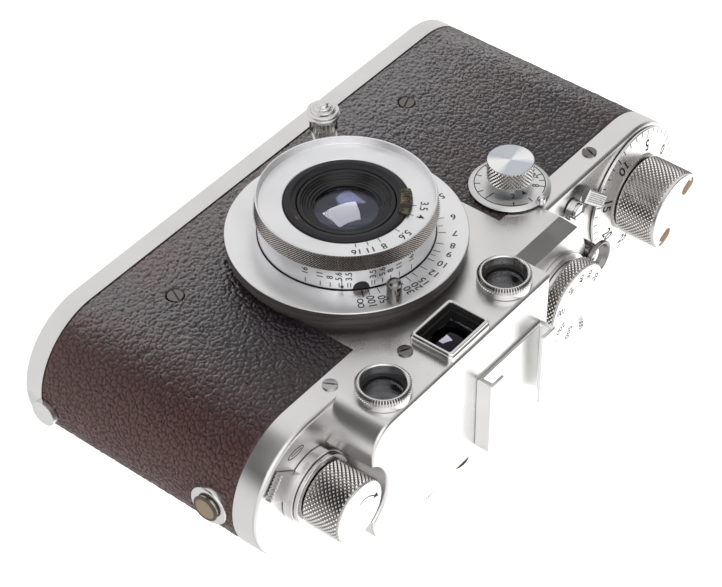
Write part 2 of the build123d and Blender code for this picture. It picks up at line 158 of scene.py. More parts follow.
def edges(tree, low, high, at_low=0.0, at_high=1.0):
    """Grey that follows how convex the surface is."""
    return ramp(tree, node(tree, "NewGeometry", out="Pointiness"), [(low, at_low), (high, at_high)])


# ------------------------------------------------------------------ materials
def chrome(name, colour, rough, dirt_and_corner_shade=0.5, grain=0.06, turned_by=0.0):
    """Chrome with blasted grain, smudged gloss, random dirt and painted shade in its concave corners; turned_by
    brushes it about Y.
    """
    mat, tree, shader = principled(name)
    cloud = noise(tree, 90.0, 6.0)
    dirt = ramp(tree, cloud, [(0.42, 0.0), (0.78, 1.0)])
    # Pointiness darkens the concave corners and creases: painted shade; the noise cloud above adds the random
    # dirt.
    concave_shade = maths(tree, "MULTIPLY", edges(tree, 0.40, 0.495, 1.0, 0.0), 0.75 * dirt_and_corner_shade)
    amount = maths(tree, "MULTIPLY_ADD", dirt, 0.10 * dirt_and_corner_shade, concave_shade)
    bump = node(tree, "Bump", {"Strength": grain, "Distance": 0.00005, "Height": noise(tree, 5200.0, 2.0)})
    fill(tree, shader, {"Metallic": 1.0, "Normal": bump,
                        "Base Color": blend(tree, amount, (*colour, 1), (0.10, 0.085, 0.075, 1)),
                        "Roughness": ramp(tree, cloud, [(0.3, rough * 0.8), (0.7, rough * 1.25)])})
    if turned_by:
        tangent = node(tree, "Tangent", direction_type="RADIAL", axis="Y")
        fill(tree, shader, {"Anisotropic": turned_by, "Tangent": tangent})
    return mat


def spun_metal(name, centre):
    """Face turned on a lathe and brushed about Y, with bright and grey wedges about the centre painted into its
    colour: painted highlight.
    """
    mat = chrome(name, (0.86, 0.87, 0.90), 0.30, dirt_and_corner_shade=0.2, turned_by=0.9)
    tree = mat.node_tree
    shader = next(one for one in tree.nodes if one.type == "BSDF_PRINCIPLED")
    x, _, z = axes(tree, node(tree, "VectorMath", {0: in_place(tree), 1: centre}, operation="SUBTRACT"))
    angle = maths(tree, "ARCTAN2", z, x)
    # Cosine of twice the angle about the centre: bright and grey wedges painted into the colour, a painted
    # highlight.
    sheen_wedges = maths(tree, "COSINE", maths(tree, "MULTIPLY_ADD", angle, 2.0, 0.9))
    fill(tree, shader, {"Base Color": ramp(tree, sheen_wedges, [(0.0, (0.60, 0.63, 0.68)),
                                                        (0.75, (0.98, 0.98, 0.98))])})
    return mat


def black_metal(name, colour=(0.012, 0.012, 0.014), rough=0.38, brass=0.5):
    """Black paint that has rubbed through to brass on its convex edges."""
    mat, tree, shader = principled(name)
    cloud = noise(tree, 420.0, 5.0)
    spots = ramp(tree, cloud, [(0.45, 0.0), (0.62, brass)])
    amount = maths(tree, "MULTIPLY", edges(tree, 0.52, 0.60), spots)
    fill(tree, shader, {"Base Color": blend(tree, amount, (*colour, 1), (0.42, 0.30, 0.13, 1)),
                        "Metallic": amount, "Specular IOR Level": 0.28,
                        "Roughness": ramp(tree, cloud, [(0.3, rough * 0.8), (0.7, rough * 1.3)])})
    return mat


def plain(name, colour, rough, metallic=0.0, spread=0.15, scale=300.0):
    """Paint or machined metal with slight colour and gloss variation."""
    mat, tree, shader = principled(name)
    cloud = noise(tree, scale)
    dark = tuple(c * (1 - spread) for c in colour)
    light = tuple(min(1.0, c * (1 + spread)) for c in colour)
    fill(tree, shader, {"Base Color": ramp(tree, cloud, [(0.3, dark), (0.7, light)]), "Metallic": metallic,
                        "Roughness": ramp(tree, cloud, [(0.3, rough * 0.85), (0.7, rough * 1.2)])})
    return mat


def glass(name, tint, coat=None, ior=1.52):
    """Clear optical glass; coat tints its reflection like a thin anti-reflection film."""
    mat, tree, shader = principled(name)
    fill(tree, shader, {"Base Color": (*tint, 1), "Transmission Weight": 1.0, "IOR": ior,
                        "Roughness": ramp(tree, noise(tree, 260.0, 3.0), [(0.4, 0.0), (0.7, 0.02)])})
    if coat:
        fill(tree, shader, {"Specular Tint": (*coat, 1)})
    return mat


def leather_material():
    """Pebbled leatherette: the mesh carries the pebbles, this adds fine wrinkles, wear, gloss and painted shade
    in the creases.
    """
    mat, tree, shader = principled("pebbled_leatherette")
    height = maths(tree, "MULTIPLY_ADD", noise(tree, 7000.0, 3.0), 0.35, noise(tree, 2600.0, 5.0))
    bump = node(tree, "Bump", {"Strength": 0.5, "Distance": 0.00012, "Height": height})
    # Both colours grow darker in the concave creases between the pebbles: painted shade.
    crease = edges(tree, 0.46, 0.525)
    cloud = noise(tree, 38.0)
    black = ramp(tree, crease, [(0.0, (0.003, 0.0022, 0.0028)), (1.0, (0.024, 0.017, 0.021))])
    faded = ramp(tree, crease, [(0.0, (0.009, 0.004, 0.004)), (1.0, (0.085, 0.034, 0.030))])
    patches = ramp(tree, cloud, [(0.50, 0.0), (0.75, 0.6)])
    x = axes(tree, in_place(tree))[0]
    rewind_end = node(tree, "MapRange", {"From Min": 0.046, "From Max": 0.068, "Value": x})
    wear = maths(tree, "MAXIMUM", patches, rewind_end)
    fill(tree, shader, {"Base Color": blend(tree, wear, black, faded), "Specular IOR Level": 0.46,
                        "Normal": bump,
                        "Roughness": ramp(tree, cloud, [(0.3, 0.26), (0.7, 0.36)])})
    return mat


SATIN = chrome("satin_chrome", (0.80, 0.79, 0.78), 0.30, grain=0.10)
SATIN_TOP = chrome("satin_chrome_top", (0.80, 0.79, 0.78), 0.30, dirt_and_corner_shade=0.35)
KNURL = chrome("knurled_chrome", (0.72, 0.70, 0.68), 0.20, dirt_and_corner_shade=1.3)
BRIGHT = chrome("bright_chrome", (0.74, 0.74, 0.74), 0.09, dirt_and_corner_shade=0.6, grain=0.02)
SATIN_RING = chrome("satin_chrome_turned", (0.90, 0.90, 0.91), 0.42, dirt_and_corner_shade=0.3, turned_by=0.4)
KNURL_DARK = chrome("knurl_darkened", (0.46, 0.43, 0.41), 0.22, dirt_and_corner_shade=1.5)
# Brown-black paint on edges, also used as painted shade to fill the dark gaps round and under the lens flange.
BLACK_EDGE_AND_GAP_SHADE = black_metal("blackened_edge_and_gap_shade", (0.055, 0.045, 0.045), 0.34, brass=0.0)
BLACK_GLOSS = black_metal("black_enamel", (0.012, 0.011, 0.012), 0.20, brass=0.10)
BRASSY = black_metal("black_worn_to_brass", (0.016, 0.014, 0.013), 0.28, brass=0.8)
SATIN_GREY = chrome("satin_chrome_dull", (0.78, 0.78, 0.78), 0.38, grain=0.12)
BRIGHT_SATIN = chrome("bezel_chrome", (0.76, 0.75, 0.74), 0.20, dirt_and_corner_shade=0.7)
BLACK = black_metal("black_paint")
BLACK_IN = plain("matt_black", (0.010, 0.010, 0.011), 0.55)
ENGRAVED = plain("engraving_paint", (0.016, 0.014, 0.014), 0.6)
# Darker copy of the bright chrome for the stop post and the release cup, darkened for how dark they look: painted
# shade.
SHADED_BRIGHT_CHROME = chrome("shaded_bright_chrome", (0.25, 0.24, 0.235), 0.14, dirt_and_corner_shade=1.2, grain=0.02)
STEEL = plain("machined_steel", (0.52, 0.52, 0.53), 0.34, metallic=1.0)
BRASS = plain("brass", (0.66, 0.48, 0.20), 0.30, metallic=1.0)
BRASS_DARK = plain("tarnished_brass", (0.58, 0.44, 0.31), 0.5)
LUG_BROWN = chrome("lug_tarnished", (0.36, 0.28, 0.19), 0.32, dirt_and_corner_shade=1.6)
LUG_RIM = plain("lug_rim", (0.07, 0.045, 0.03), 0.4)
CLOTH = plain("curtain_cloth", (0.016, 0.016, 0.017), 0.9)
DARK_WORN = chrome("dark_worn_steel", (0.20, 0.19, 0.185), 0.34, dirt_and_corner_shade=1.0)
FINDER_GLASS = glass("finder_glass", (0.80, 0.82, 0.88))
LENS_GLASS = glass("coated_lens_glass", (0.86, 0.88, 1.0), coat=(0.84, 0.84, 0.95), ior=1.30)
# The shoe's chrome is a whiter copy of the top's chrome, brightened to stand for the strong light on it: painted
# light.
SHOE_LIT_CHROME = chrome("shoe_lit_chrome", (0.97, 0.97, 0.96), 0.34, dirt_and_corner_shade=0.15)
VIEW_LENS = plain("finder_lens", (0.024, 0.021, 0.028), 0.04, metallic=1.0, spread=0.1, scale=90.0)
LENS_INNER = plain("coated_inner_surface", (0.0080, 0.0085, 0.0115), 0.05, metallic=1.0, spread=0.1,
                   scale=90.0)
LEATHER = leather_material()

for slot, mats in (("bright_chrome", (BRIGHT, SHADED_BRIGHT_CHROME)), ("finder_glass", (FINDER_GLASS, VIEW_LENS)),
                   ("black_paint", (BLACK, BLACK_IN, BLACK_GLOSS, BRASSY, ENGRAVED)),
                   ("coated_glass", (LENS_GLASS, LENS_INNER))):
    dict.fromkeys(mats, slot)


# ------------------------------------------------------------------ mesh helpers
def solid(name, verts, faces):
    """A mesh with coinciding points merged and all faces turned outward."""
    mesh = bpy.data.meshes.new(name)
    mesh.from_pydata([tuple(v) for v in verts], [], faces)
    bm = bmesh.new()
    bm.from_mesh(mesh)
    bmesh.ops.remove_doubles(bm, verts=bm.verts, dist=1e-7)
    bmesh.ops.recalc_face_normals(bm, faces=bm.faces)
    bm.to_mesh(mesh)
    bm.free()
    return mesh


def link(name, data):
    obj = bpy.data.objects.new(name, data)
    bpy.context.scene.collection.objects.link(obj)
    return obj


def make(name, verts, faces, mats, body, stands_for=None, sharp=32.0):
    """A mesh piece with smooth shading that breaks at sharp edges, riding on a CAD body."""
    return finish_piece(name, solid(name, verts, faces), mats, body, stands_for, sharp)


def finish_piece(name, mesh, mats, body, stands_for=None, sharp=32.0):
    mats = mats if isinstance(mats, list) else [mats]
    mesh.shade_smooth()
    mesh.set_sharp_from_angle(angle=math.radians(sharp))
    obj = link(name, mesh)
    for mat in mats:
        mesh.materials.append(mat)
    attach(obj, body)
    if stands_for:
        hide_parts(stands_for)
    return obj


def repaint(obj, pick):
    """Chooses each face's material by pick(face centre in the row frame, in millimetres)."""
    for polygon in obj.data.polygons:
        polygon.material_index = pick(polygon.center / MM)


def skin(rows, columns, wrap=True):
    """Quads between rings of points that follow one another, the last joined to the first if wrap."""
    faces = []
    for j in range(rows if wrap else rows - 1):
        a, b = j * columns, (j + 1) % rows * columns
        faces += [[a + i, a + (i + 1) % columns, b + (i + 1) % columns, b + i] for i in range(columns)]
    return faces


def polar(r, a, h):
    return Vector((r * math.cos(a), r * math.sin(a), h))


def ring(r, h, count):
    """Points of a circle about +Z."""
    return [polar(r, TAU * k / count, h) for k in range(count)]


def arc(cx, cy, r, start, end, steps):
    """Points of an arc, angles in degrees."""
    angles = [math.radians(start + (end - start) / steps * k) for k in range(steps + 1)]
    return [(cx + r * math.cos(a), cy + r * math.sin(a)) for a in angles]


def soften(points, radius=0.12, steps=3):
    """Rounds the corners of a closed (radius, height) outline with short arcs."""
    result = []
    for i, (r, h) in enumerate(points):
        here = Vector((r, h))
        a = Vector(points[i - 1]) - here
        b = Vector(points[(i + 1) % len(points)]) - here
        if r <= 1e-6 or a.length < 1e-6 or b.length < 1e-6:
            result.append((r, h))
            continue
        reach = min(radius, a.length * 0.45, b.length * 0.45)
        start = here + a.normalized() * reach
        end = here + b.normalized() * reach
        for k in range(steps + 1):
            t = k / steps
            point = start * (1 - t) ** 2 + here * 2 * t * (1 - t) + end * t ** 2
            result.append((max(point.x, 0.0), point.y))
    return result


def lathe(profile, segments=128, closed=True):
    """Verts and faces turned about +Z from (radius, height) points in millimetres."""
    verts, faces, rows = [], [], []
    for r, h in profile:
        count = 1 if r < 1e-6 else segments
        rows.append(list(range(len(verts), len(verts) + count)))
        verts += [Vector((0, 0, h))] if count == 1 else ring(r, h, segments)
    for a, b in zip(rows, rows[1:] + (rows[:1] if closed else [])):
        for k in range(segments):
            n = (k + 1) % segments
            face = list(dict.fromkeys([a[k % len(a)], a[n % len(a)], b[n % len(b)], b[k % len(b)]]))
            if len(face) > 2:
                faces.append(face)
    return verts, faces


def up(centre):
    """Places millimetre points about +Z in the row frame, with centre.x and centre.y in metres."""
    return lambda verts: [Vector((centre.x + v.x * MM, centre.y + v.y * MM, v.z * MM)) for v in verts]


def front(centre):
    """Places points turned about +Z so that their height becomes depth toward the viewer (-Y)."""
    return lambda verts: [Vector((centre.x + v.x * MM, front_y - v.z * MM,
                                  centre.z + v.y * MM)) for v in verts]


on_deck = up(Vector((0, 0, 0)))
on_lens = front(axis_lens)
on_slow = front(axis_slow)
on_wind = up(axis_wind)
on_speed = up(axis_speed)
on_rewind = up(axis_rewind)
on_release = up(middle("release_button"))


def turned(name, profile, where, mats, body, stands_for=None, segments=128, round_by=0.12,
           pick=None):
    """A turned piece; pick(radius, height) chooses among several materials."""
    verts, faces = lathe(soften(profile, round_by), segments)
    obj = make(name, where(verts), faces, mats, body, stands_for)
    if pick:
        centre = where([Vector()])[0] / MM
        repaint(obj, lambda at: pick(math.hypot(at.x - centre.x, at.z - centre.z), centre.y - at.y))
    return obj


def prism(outline, low, high):
    """A straight-sided solid from a closed outline of (x, y) points in millimetres."""
    n = len(outline)
    verts = [Vector((x, y, h)) for h in (low, high) for x, y in outline]
    return verts, [list(range(n))[::-1], list(range(n, 2 * n))] + skin(2, n, wrap=False)


def bevelled(obj, width, steps=3):
    mod = obj.modifiers.new("edge_round", "BEVEL")
    mod.width = width * MM
    mod.segments = steps
    mod.limit_method = "ANGLE"
    mod.angle_limit = math.radians(35.0)


def spin(degrees):
    """Rotation about +Z."""
    return Matrix.Rotation(math.radians(degrees), 3, "Z")


def glyphs(text, size, bold=0.012):
    """Flat outline mesh of digits in the built-in font, centred, in millimetres."""
    curve = bpy.data.curves.new("digits", "FONT")
    curve.body = text
    curve.size = size
    curve.offset = size * bold
    curve.align_x = "CENTER"
    curve.align_y = "CENTER"
    curve.resolution_u = 3
    holder = link("digits", curve)
    mesh = bpy.data.meshes.new_from_object(holder.evaluated_get(bpy.context.evaluated_depsgraph_get()))
    verts = [v.co.copy() for v in mesh.vertices]
    faces = [list(p.vertices) for p in mesh.polygons]
    bpy.data.objects.remove(holder)
    bpy.data.meshes.remove(mesh)
    bpy.data.curves.remove(curve)
    return verts, faces


class Marks:
    """Collects flat engraved marks, filled with paint, on a disc or a cylinder."""

    def __init__(self):
        self.verts = []
        self.faces = []

    def add(self, verts, faces):
        start = len(self.verts)
        self.verts += verts
        self.faces += [[start + i for i in face] for face in faces]

    def quad(self, corners):
        self.add(corners, [[0, 1, 2, 3]])

    def band(self, first, second):
        """Closed band between two outlines of equal point count."""
        self.add(first + second, skin(2, len(first), wrap=False))

    def text_on_disc(self, text, size, radius, degrees, height, own=0.0):
        """Text whose foot points to the disc's centre, turned by own degrees about itself."""
        verts, faces = glyphs(text, size)
        turn = spin(degrees - 90)
        self.add([turn @ (spin(own) @ v + Vector((0, radius, 0))) + Vector((0, 0, height)) for v in verts],
                 faces)

    def bar_on_disc(self, inner, outer, width, degrees, height):
        half = width / 2
        corners = [(-half, inner), (half, inner), (half, outer), (-half, outer)]
        self.quad([spin(degrees - 90) @ Vector((x, y, height)) for x, y in corners])

    def arc_on_disc(self, radius, width, start, end, height, steps):
        rims = [arc(0, 0, radius + side * width / 2, start, end, steps) for side in (-1, 1)]
        n = steps + 1
        self.add([Vector((x, y, height)) for rim in rims for x, y in rim],
                 [[k, k + 1, n + k + 1, n + k] for k in range(steps)])

    def wrap(self, verts, faces, radius, degrees, height=0.0):
        """Flat (across, up) points wrapped on a cylinder about +Z."""
        spots = [(math.radians(degrees) + v[0] / radius, height + v[1]) for v in verts]
        self.add([polar(radius, a, h) for a, h in spots], faces)

    def text_on_cylinder(self, text, size, radius, degrees, height, own=0.0):
        verts, faces = glyphs(text, size)
        self.wrap([spin(own) @ v for v in verts], faces, radius, degrees, height)

    def half_disc_on_cylinder(self, half_width, rise, foot, radius, degrees, strips=16):
        """Filled half disc standing on a foot line, cut into narrow strips that follow the cylinder."""
        edge = [-1 + 2 * k / strips for k in range(strips + 1)]
        tops = [(a * half_width, foot + rise * math.sqrt(max(0.0, 1 - a * a))) for a in edge]
        for one, two in zip(tops, tops[1:]):
            self.wrap([(one[0], foot), (two[0], foot), two, one], [[0, 1, 2, 3]], radius, degrees)

    def bar_on_cylinder(self, low, high, width, radius, degrees):
        half = width / 2
        self.wrap([(-half, low), (half, low), (half, high), (-half, high)], [[0, 1, 2, 3]], radius, degrees)

    def build(self, name, where, body):
        make(name, where(self.verts), self.faces, ENGRAVED, body)


# ------------------------------------------------------------------ CAD nodes that stay
def smoothing(degrees):
    """Node group that welds a CAD mesh and shades it smooth across edges below an angle."""
    group = bpy.data.node_groups.new("smooth_%d" % degrees, "GeometryNodeTree")
    for way in ("INPUT", "OUTPUT"):
        group.interface.new_socket("Geometry", in_out=way, socket_type="NodeSocketGeometry")
    bare = node(group, "GeometryNodeRemoveAttribute",
                {"Geometry": node(group, "NodeGroupInput"), "Name": "custom_normal"})
    welded = node(group, "GeometryNodeMergeByDistance", {"Geometry": bare, "Distance": 2e-6})
    smooth = node(group, "GeometryNodeSetShadeSmooth", {"Geometry": welded})
    angle = node(group, "GeometryNodeInputMeshEdgeAngle", out="Unsigned Angle")
    below = node(group, "FunctionNodeCompare", {"A": angle, "B": math.radians(degrees)}, operation="LESS_THAN")
    creased = node(group, "GeometryNodeSetShadeSmooth", {"Geometry": smooth, "Shade Smooth": below},
                   domain="EDGE")
    fill(group, group.nodes.new("NodeGroupOutput"), {0: creased})
    return group


smooth_group = smoothing(28)
kept = [(SATIN, "top_cover base_plate base_lock_disc"), (DARK_WORN, "body_shell shutter_crate"),
        (STEEL, "curtain_drum curtain_rollers pressure_plate film_gate finder_chassis rangefinder_arm speed_core "
                "tripod_bush wind_shaft rewind_shaft"),
        (CLOTH, "first_curtain second_curtain"), (BRASS, "helicoid_ring"), (BLACK_EDGE_AND_GAP_SHADE, "lens_mount_ring"),
        (BLACK, "takeup_spool rear_cell"), (BRIGHT, "film_sprocket base_key"), (BLACK_IN, "iris_blades"),
        (LENS_GLASS, "rear_element"), (FINDER_GLASS, "rangefinder_prisms")]
for mat, names in kept:
    for name in names.split():
        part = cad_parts[name]
        part.data.materials.clear()
        part.data.materials.append(mat)
        part.modifiers.new("smooth", "NODES").node_group = smooth_group


# ------------------------------------------------------------------ leather covering
def leather_line():
    """Closed line round the body as (x, y, normal x, normal y) in millimetres, its length, half its front."""
    half = (leather_high.y - leather_low.y) / MM / 2
    cy = (leather_high.y + leather_low.y) / MM / 2
    cx = leather_high.x / MM - half
    side = 2 * cx + math.pi * half

    def at(s):
        s = s % (2 * side)
        way = 1 if s < side else -1
        s = s % side
        if s < 2 * cx:
            return way * (s - cx), cy - way * half, 0.0, -1.0 * way
        a = (s - 2 * cx) / half - math.pi / 2
        nx, ny = way * math.cos(a), way * math.sin(a)
        return way * cx + half * nx, cy + half * ny, nx, ny
    return at, 2 * side, cx


def pebble(point):
    """Height of the leather's pebbles, 0 in the creases to 1 on top, at a point in millimetres."""
    warp = noise_tools.noise_vector(point * 0.6) * 0.40 + noise_tools.noise_vector(point * 1.8) * 0.12
    distances, centres = noise_tools.voronoi((point + warp) * 0.84, distance_metric="DISTANCE", exponent=2.5)
    crease = min(1.0, (distances[1] - distances[0]) / 0.30)
    crease = math.sqrt(crease * (2 - crease))
    tone = noise_tools.noise(centres[0] * 3.1)
    wrinkle = max(0.0, 0.10 - abs(noise_tools.noise(point * 1.5))) * 2.0
    return crease * (0.84 + 0.26 * tone) - wrinkle + 0.05 * noise_tools.noise(point * 6.0)


def build_leather():
    """Pebbled strip round the body, with openings for the apron, the lens flange and the slow dial."""
    at, total, cx = leather_line()
    pitch = 0.20
    depth, sunk = 0.34, 0.02
    screws = [(41.8, 16.5), (-31.9, 15.3)]
    lens_x, lens_z = axis_lens.x / MM, axis_lens.z / MM
    slow_x, slow_z = axis_slow.x / MM, axis_slow.z / MM
    low, high = leather_low.z / MM, leather_high.z / MM
    columns, rows = int(total / pitch), int((high - low) / pitch)
    heights = [low + (high - low) * j / rows for j in range(rows + 1)]
    spots = [total * i / columns for i in range(columns)]
    for line, places in ((heights, [lens_z]), (spots, [apron_left + cx, apron_right + cx])):
        for place in places:
            near = min(range(len(line)), key=lambda k: abs(line[k] - place))
            line[near] = place
    verts, hidden = [], []
    for z in heights:
        for s in spots:
            x, y, nx, ny = at(s)
            drop = depth * (1 - pebble(Vector((x, y, z))))
            border = min(z - low, high - z)
            on_front = ny < -0.999
            if on_front:
                side = max(apron_left - x, x - apron_right)
                if z > lens_z - 0.01 and side > -0.01:
                    border = min(border, max(side, 0.0))
                for sx, sz in screws:
                    border = min(border, (math.hypot(x - sx, z - sz) - 1.75) * 1.3)
            if border < 0.35:
                drop = max(drop, 0.1) + 0.25 * (1 - max(border, 0) / 0.35)
            if border < 0:
                drop = 0.58
            drop += sunk
            verts.append(Vector(((x - nx * drop) * MM, (y - ny * drop) * MM, z * MM)))
            under_apron = apron_left + 0.01 < x < apron_right - 0.01 and z > lens_z + 0.01
            under_flange = math.hypot(x - lens_x, z - lens_z) < 22.6
            under_dial = math.hypot(x - slow_x, z - slow_z) < 5.0
            hidden.append(on_front and (under_apron or under_flange or under_dial))
    faces = []
    for quad in skin(rows + 1, columns, wrap=False):
        inside = sum(hidden[k] for k in quad)
        if inside >= 2 and verts[quad[0]].z > lens_z * MM:
            mid = sum((verts[k] for k in quad), Vector()) / 4
            if apron_left < mid.x / MM < apron_right and mid.y < front_y + 0.001:
                continue
        if inside < 4:
            faces.append(quad)
    mesh = bpy.data.meshes.new("leather")
    mesh.from_pydata([tuple(v) for v in verts], [], faces)
    bm = bmesh.new()
    bm.from_mesh(mesh)
    bmesh.ops.delete(bm, geom=[v for v in bm.verts if not v.link_faces], context="VERTS")
    bm.to_mesh(mesh)
    bm.free()
    finish_piece("leather", mesh, LEATHER, "body", "leather_covering", sharp=80.0)


# Vector noise takes its offsets from the seed, which follows the clock unless it is set.
noise_tools.seed_set(1)
build_leather()

# ------------------------------------------------------------------ lens: distance flange and focus barrel
flange_r = 23.76
flange_face = 4.43
# The flange's rim is black paint; the step round the focus barrel and the part below the flange are black as
# painted shade for the gaps there.
turned("distance_ring",
       [(15.6, -4.4), (18.95, -4.4), (18.95, 1.4), (23.3, 1.4), (23.6, 1.7), (23.6, 2.6), (23.35, 2.75),
        (23.35, 2.95), (flange_r, 3.1), (flange_r, flange_face - 0.12), (flange_r - 0.12, flange_face),
        (17.5, flange_face), (17.42, 3.6), (15.6, 3.6)],
       on_lens, [SATIN_RING, BLACK_EDGE_AND_GAP_SHADE], "body", "distance_flange", 160, 0.08,
       pick=lambda r, h: 1 if (r > 23.2 and h < flange_face - 0.3) or h < 1.5 or r < 17.5 else 0)

feet = Marks()
face = flange_face + 0.012
for text, degrees in (("100", 51.9), ("50", 57.8), ("30", 72.8), ("20", 78.0), ("15", 83.2), ("12", 91.1),
                      ("10", 99.5), ("9", 108.0), ("8", 115.0), ("7", 125.0), ("6", 138.0), ("5", 156.0),
                      ("4", 184.0), ("3.5", 206.0)):
    feet.text_on_disc(text, 2.2, 21.0, degrees, face, own=-90.0)
    feet.bar_on_disc(17.7, 19.2, 0.17, degrees, face)
for side in (-0.62, 0.62):
    loops = [arc(side, 0, r, 0, 360, 20)[:-1] for r in (0.66, 0.42)]
    feet.band(*[[spin(45.9 - 90) @ Vector((y * 0.95, x + 21.1, face)) for x, y in loop] for loop in loops])
feet.bar_on_disc(17.6, 19.5, 0.26, 48.0, face)
for degrees in (65.0, 104.0, 131.0, 146.5, 170.0, 195.0):
    feet.bar_on_disc(17.7, 18.7, 0.15, degrees, face)
feet.build("distance_digits", on_lens, "body")

turned("focus_band",
       [(13.0, -4.8), (14.15, -4.8), (14.15, 4.55), (17.2, 4.55), (17.3, 4.65), (17.3, 9.1), (17.0, 9.1),
        (17.0, 8.0), (13.0, 8.0)], on_lens, SATIN_RING, "focus", "focus_barrel", 160)

band = Marks()
band_r = 17.33
index_at = 48.0
for text, away, middle_h in (("3.5", 7.6, 7.9), ("5.6", 13.9, 7.9), ("8", 19.5, 7.5), ("11", 25.9, 7.8),
                             ("16", 36.0, 7.9)):
    for place in (index_at - away, index_at + away):
        band.text_on_cylinder(text, 1.75, band_r, place, middle_h, own=90.0)
        for shift in (-0.9, 0.9) if text == "3.5" else (0.0,):
            band.bar_on_cylinder(5.1, 6.25, 0.17, band_r, place + shift)
band.half_disc_on_cylinder(1.65, 1.75, 4.7, band_r, index_at)
band.bar_on_cylinder(4.75, 7.2, 0.17, band_r, index_at - 12.1)
band.bar_on_cylinder(5.0, 5.6, 0.6, band_r, index_at - 12.1)
band.build("depth_of_field_marks", on_lens, "focus")

turned("stop_post",
       [(0.0, flange_face), (1.5, flange_face), (1.5, 8.4), (1.32, 8.95), (0.95, 9.3), (0.5, 9.46),
        (0.0, 9.5)],
       front(middle("focus_stop_post")), SHADED_BRIGHT_CHROME, "body", "focus_stop_post", 48, 0.05)


# ------------------------------------------------------------------ lens: grip, scale ring and aperture ring
def fine_knurl(name, radius, low, high, around, rows, depth, inner, where, mat, body, stands_for=None,
               fine=4, chamfer=0.2, taper=0.0):
    """Diamond knurling with chamfered ends, that narrows by taper toward the top."""
    columns, lines = around * fine, rows * fine
    verts = ring(inner, low, columns) + ring(radius - depth - chamfer, low, columns)
    for j in range(lines + 1):
        h = low + chamfer + (high - low - 2 * chamfer) * j / lines
        fade = min(1.0, j / 2, (lines - j) / 2)
        for i in range(columns):
            u, v = i / fine, j / fine
            hill = 1 - max(abs((u + v) % 2.0 - 1), abs((u - v) % 2.0 - 1))
            r = radius - depth - taper * j / lines + depth * min(1.0, hill * 1.35) * fade
            verts.append(polar(r, TAU * i / columns, h))
    verts += ring(radius - taper - depth - chamfer, high, columns) + ring(inner, high, columns)
    make(name, where(verts), skin(lines + 5, columns), mat, body, stands_for, sharp=24.0)


fine_knurl("lens_grip_knurl", 18.05, 9.5, 13.3, 400, 14, 0.36, 17.15, on_lens, KNURL_DARK, "tube",
           "lens_grip_ring",
           chamfer=0.08, taper=0.4)
turned("lens_tube",
       [(11.2, -19.0), (12.95, -19.0), (12.95, 8.1), (16.9, 8.1), (16.9, 9.2), (17.38, 9.2), (17.38, 9.44),
        (11.2, 9.44)], on_lens, BRIGHT, "tube", "collapsing_tube")
turned("front_ring",
       [(12.25, 9.45), (17.2, 9.45), (17.2, 13.1), (17.55, 13.2), (17.55, 13.34), (17.46, 13.42),
        (17.3, 13.42),
        (17.14, 13.3), (17.08, 11.95), (16.95, 11.8), (12.42, 11.8), (12.25, 11.65)],
       on_lens, SATIN_RING, "tube", "front_scale_ring", 160, 0.06)
f_marks = Marks()
f_face = 11.812
for text, degrees in (("3.5", 121.4), ("4", 109.4), ("5.6", 86.6), ("8", 67.2), ("11", 56.6), ("16", 46.4)):
    f_marks.text_on_disc(text, 2.2, 14.9, degrees, f_face)
    f_marks.bar_on_disc(12.5, 13.55, 0.17, degrees, f_face)
f_marks.build("aperture_digits", on_lens, "tube")
turned("aperture_ring_black",
       [(9.75, 9.5), (12.15, 9.5), (12.15, 11.5), (11.95, 12.0), (10.9, 12.1), (10.4, 11.75), (9.75, 11.6)],
       on_lens, BLACK, "aperture", "aperture_ring", 160, 0.1)


def aperture_tab():
    """Ribbed thumb tab on the aperture ring, between two angles."""
    verts = []
    start, end, steps = 106.5, 141.5, 56
    section = [(10.45, 11.9), (10.45, 12.4), (10.7, 12.55), (12.45, 12.55), (12.75, 12.4), (12.8, 12.27),
               (12.2, 12.25), (11.9, 11.9)]
    for k in range(steps + 1):
        ridge = 0.0 if 0.14 < k / steps < 0.86 and k % 6 < 2 else 0.10
        sunk = (1 - min(1.0, min(k, steps - k) / 3)) * 0.12
        for index, (r, h) in enumerate(section):
            lift = ridge if 2 <= index <= 5 else 0.0
            low_by = sunk if 1 <= index <= 5 else 0.0
            verts.append(polar(r - lift * (index >= 4), math.radians(start + (end - start) * k / steps),
                               h - 0.10 + lift - low_by))
    n = len(section)
    ends = [list(range(n)), list(range(steps * n, steps * n + n))[::-1]]
    make("aperture_tab", on_lens(verts), skin(steps + 1, n, wrap=False) + ends, BRASSY, "aperture")


aperture_tab()
turned("front_cell_cone",
       [(6.35, 6.4), (11.2, 6.4), (11.2, 9.35), (9.62, 9.35), (9.62, 11.3), (9.45, 11.6), (8.9, 11.55),
        (8.75, 11.2), (8.55, 11.2), (8.3, 10.85), (8.1, 10.9), (7.9, 10.6), (7.55, 10.65), (7.3, 10.35),
        (6.9, 10.4), (6.75, 10.1), (6.4, 10.1), (6.35, 9.0)],
       on_lens, BLACK_GLOSS, "tube", "front_cell", 160, 0.05)


def dome(name, radius, edge, height, back, mat, body, where, stands_for=None):
    """A lens element with a spherical front and a flat back, depths in millimetres."""
    sphere = (radius ** 2 + height ** 2) / (2 * height)
    profile = [(0.0, back), (radius, back), (radius, edge)]
    steps = 16
    for k in range(1, steps + 1):
        r = radius * (1 - k / steps)
        profile.append((r, edge + math.sqrt(max(sphere ** 2 - r ** 2, 0)) - (sphere - height)))
    verts, faces = lathe(profile, 96)
    make(name, where(verts), faces, mat, body, stands_for, sharp=60.0)


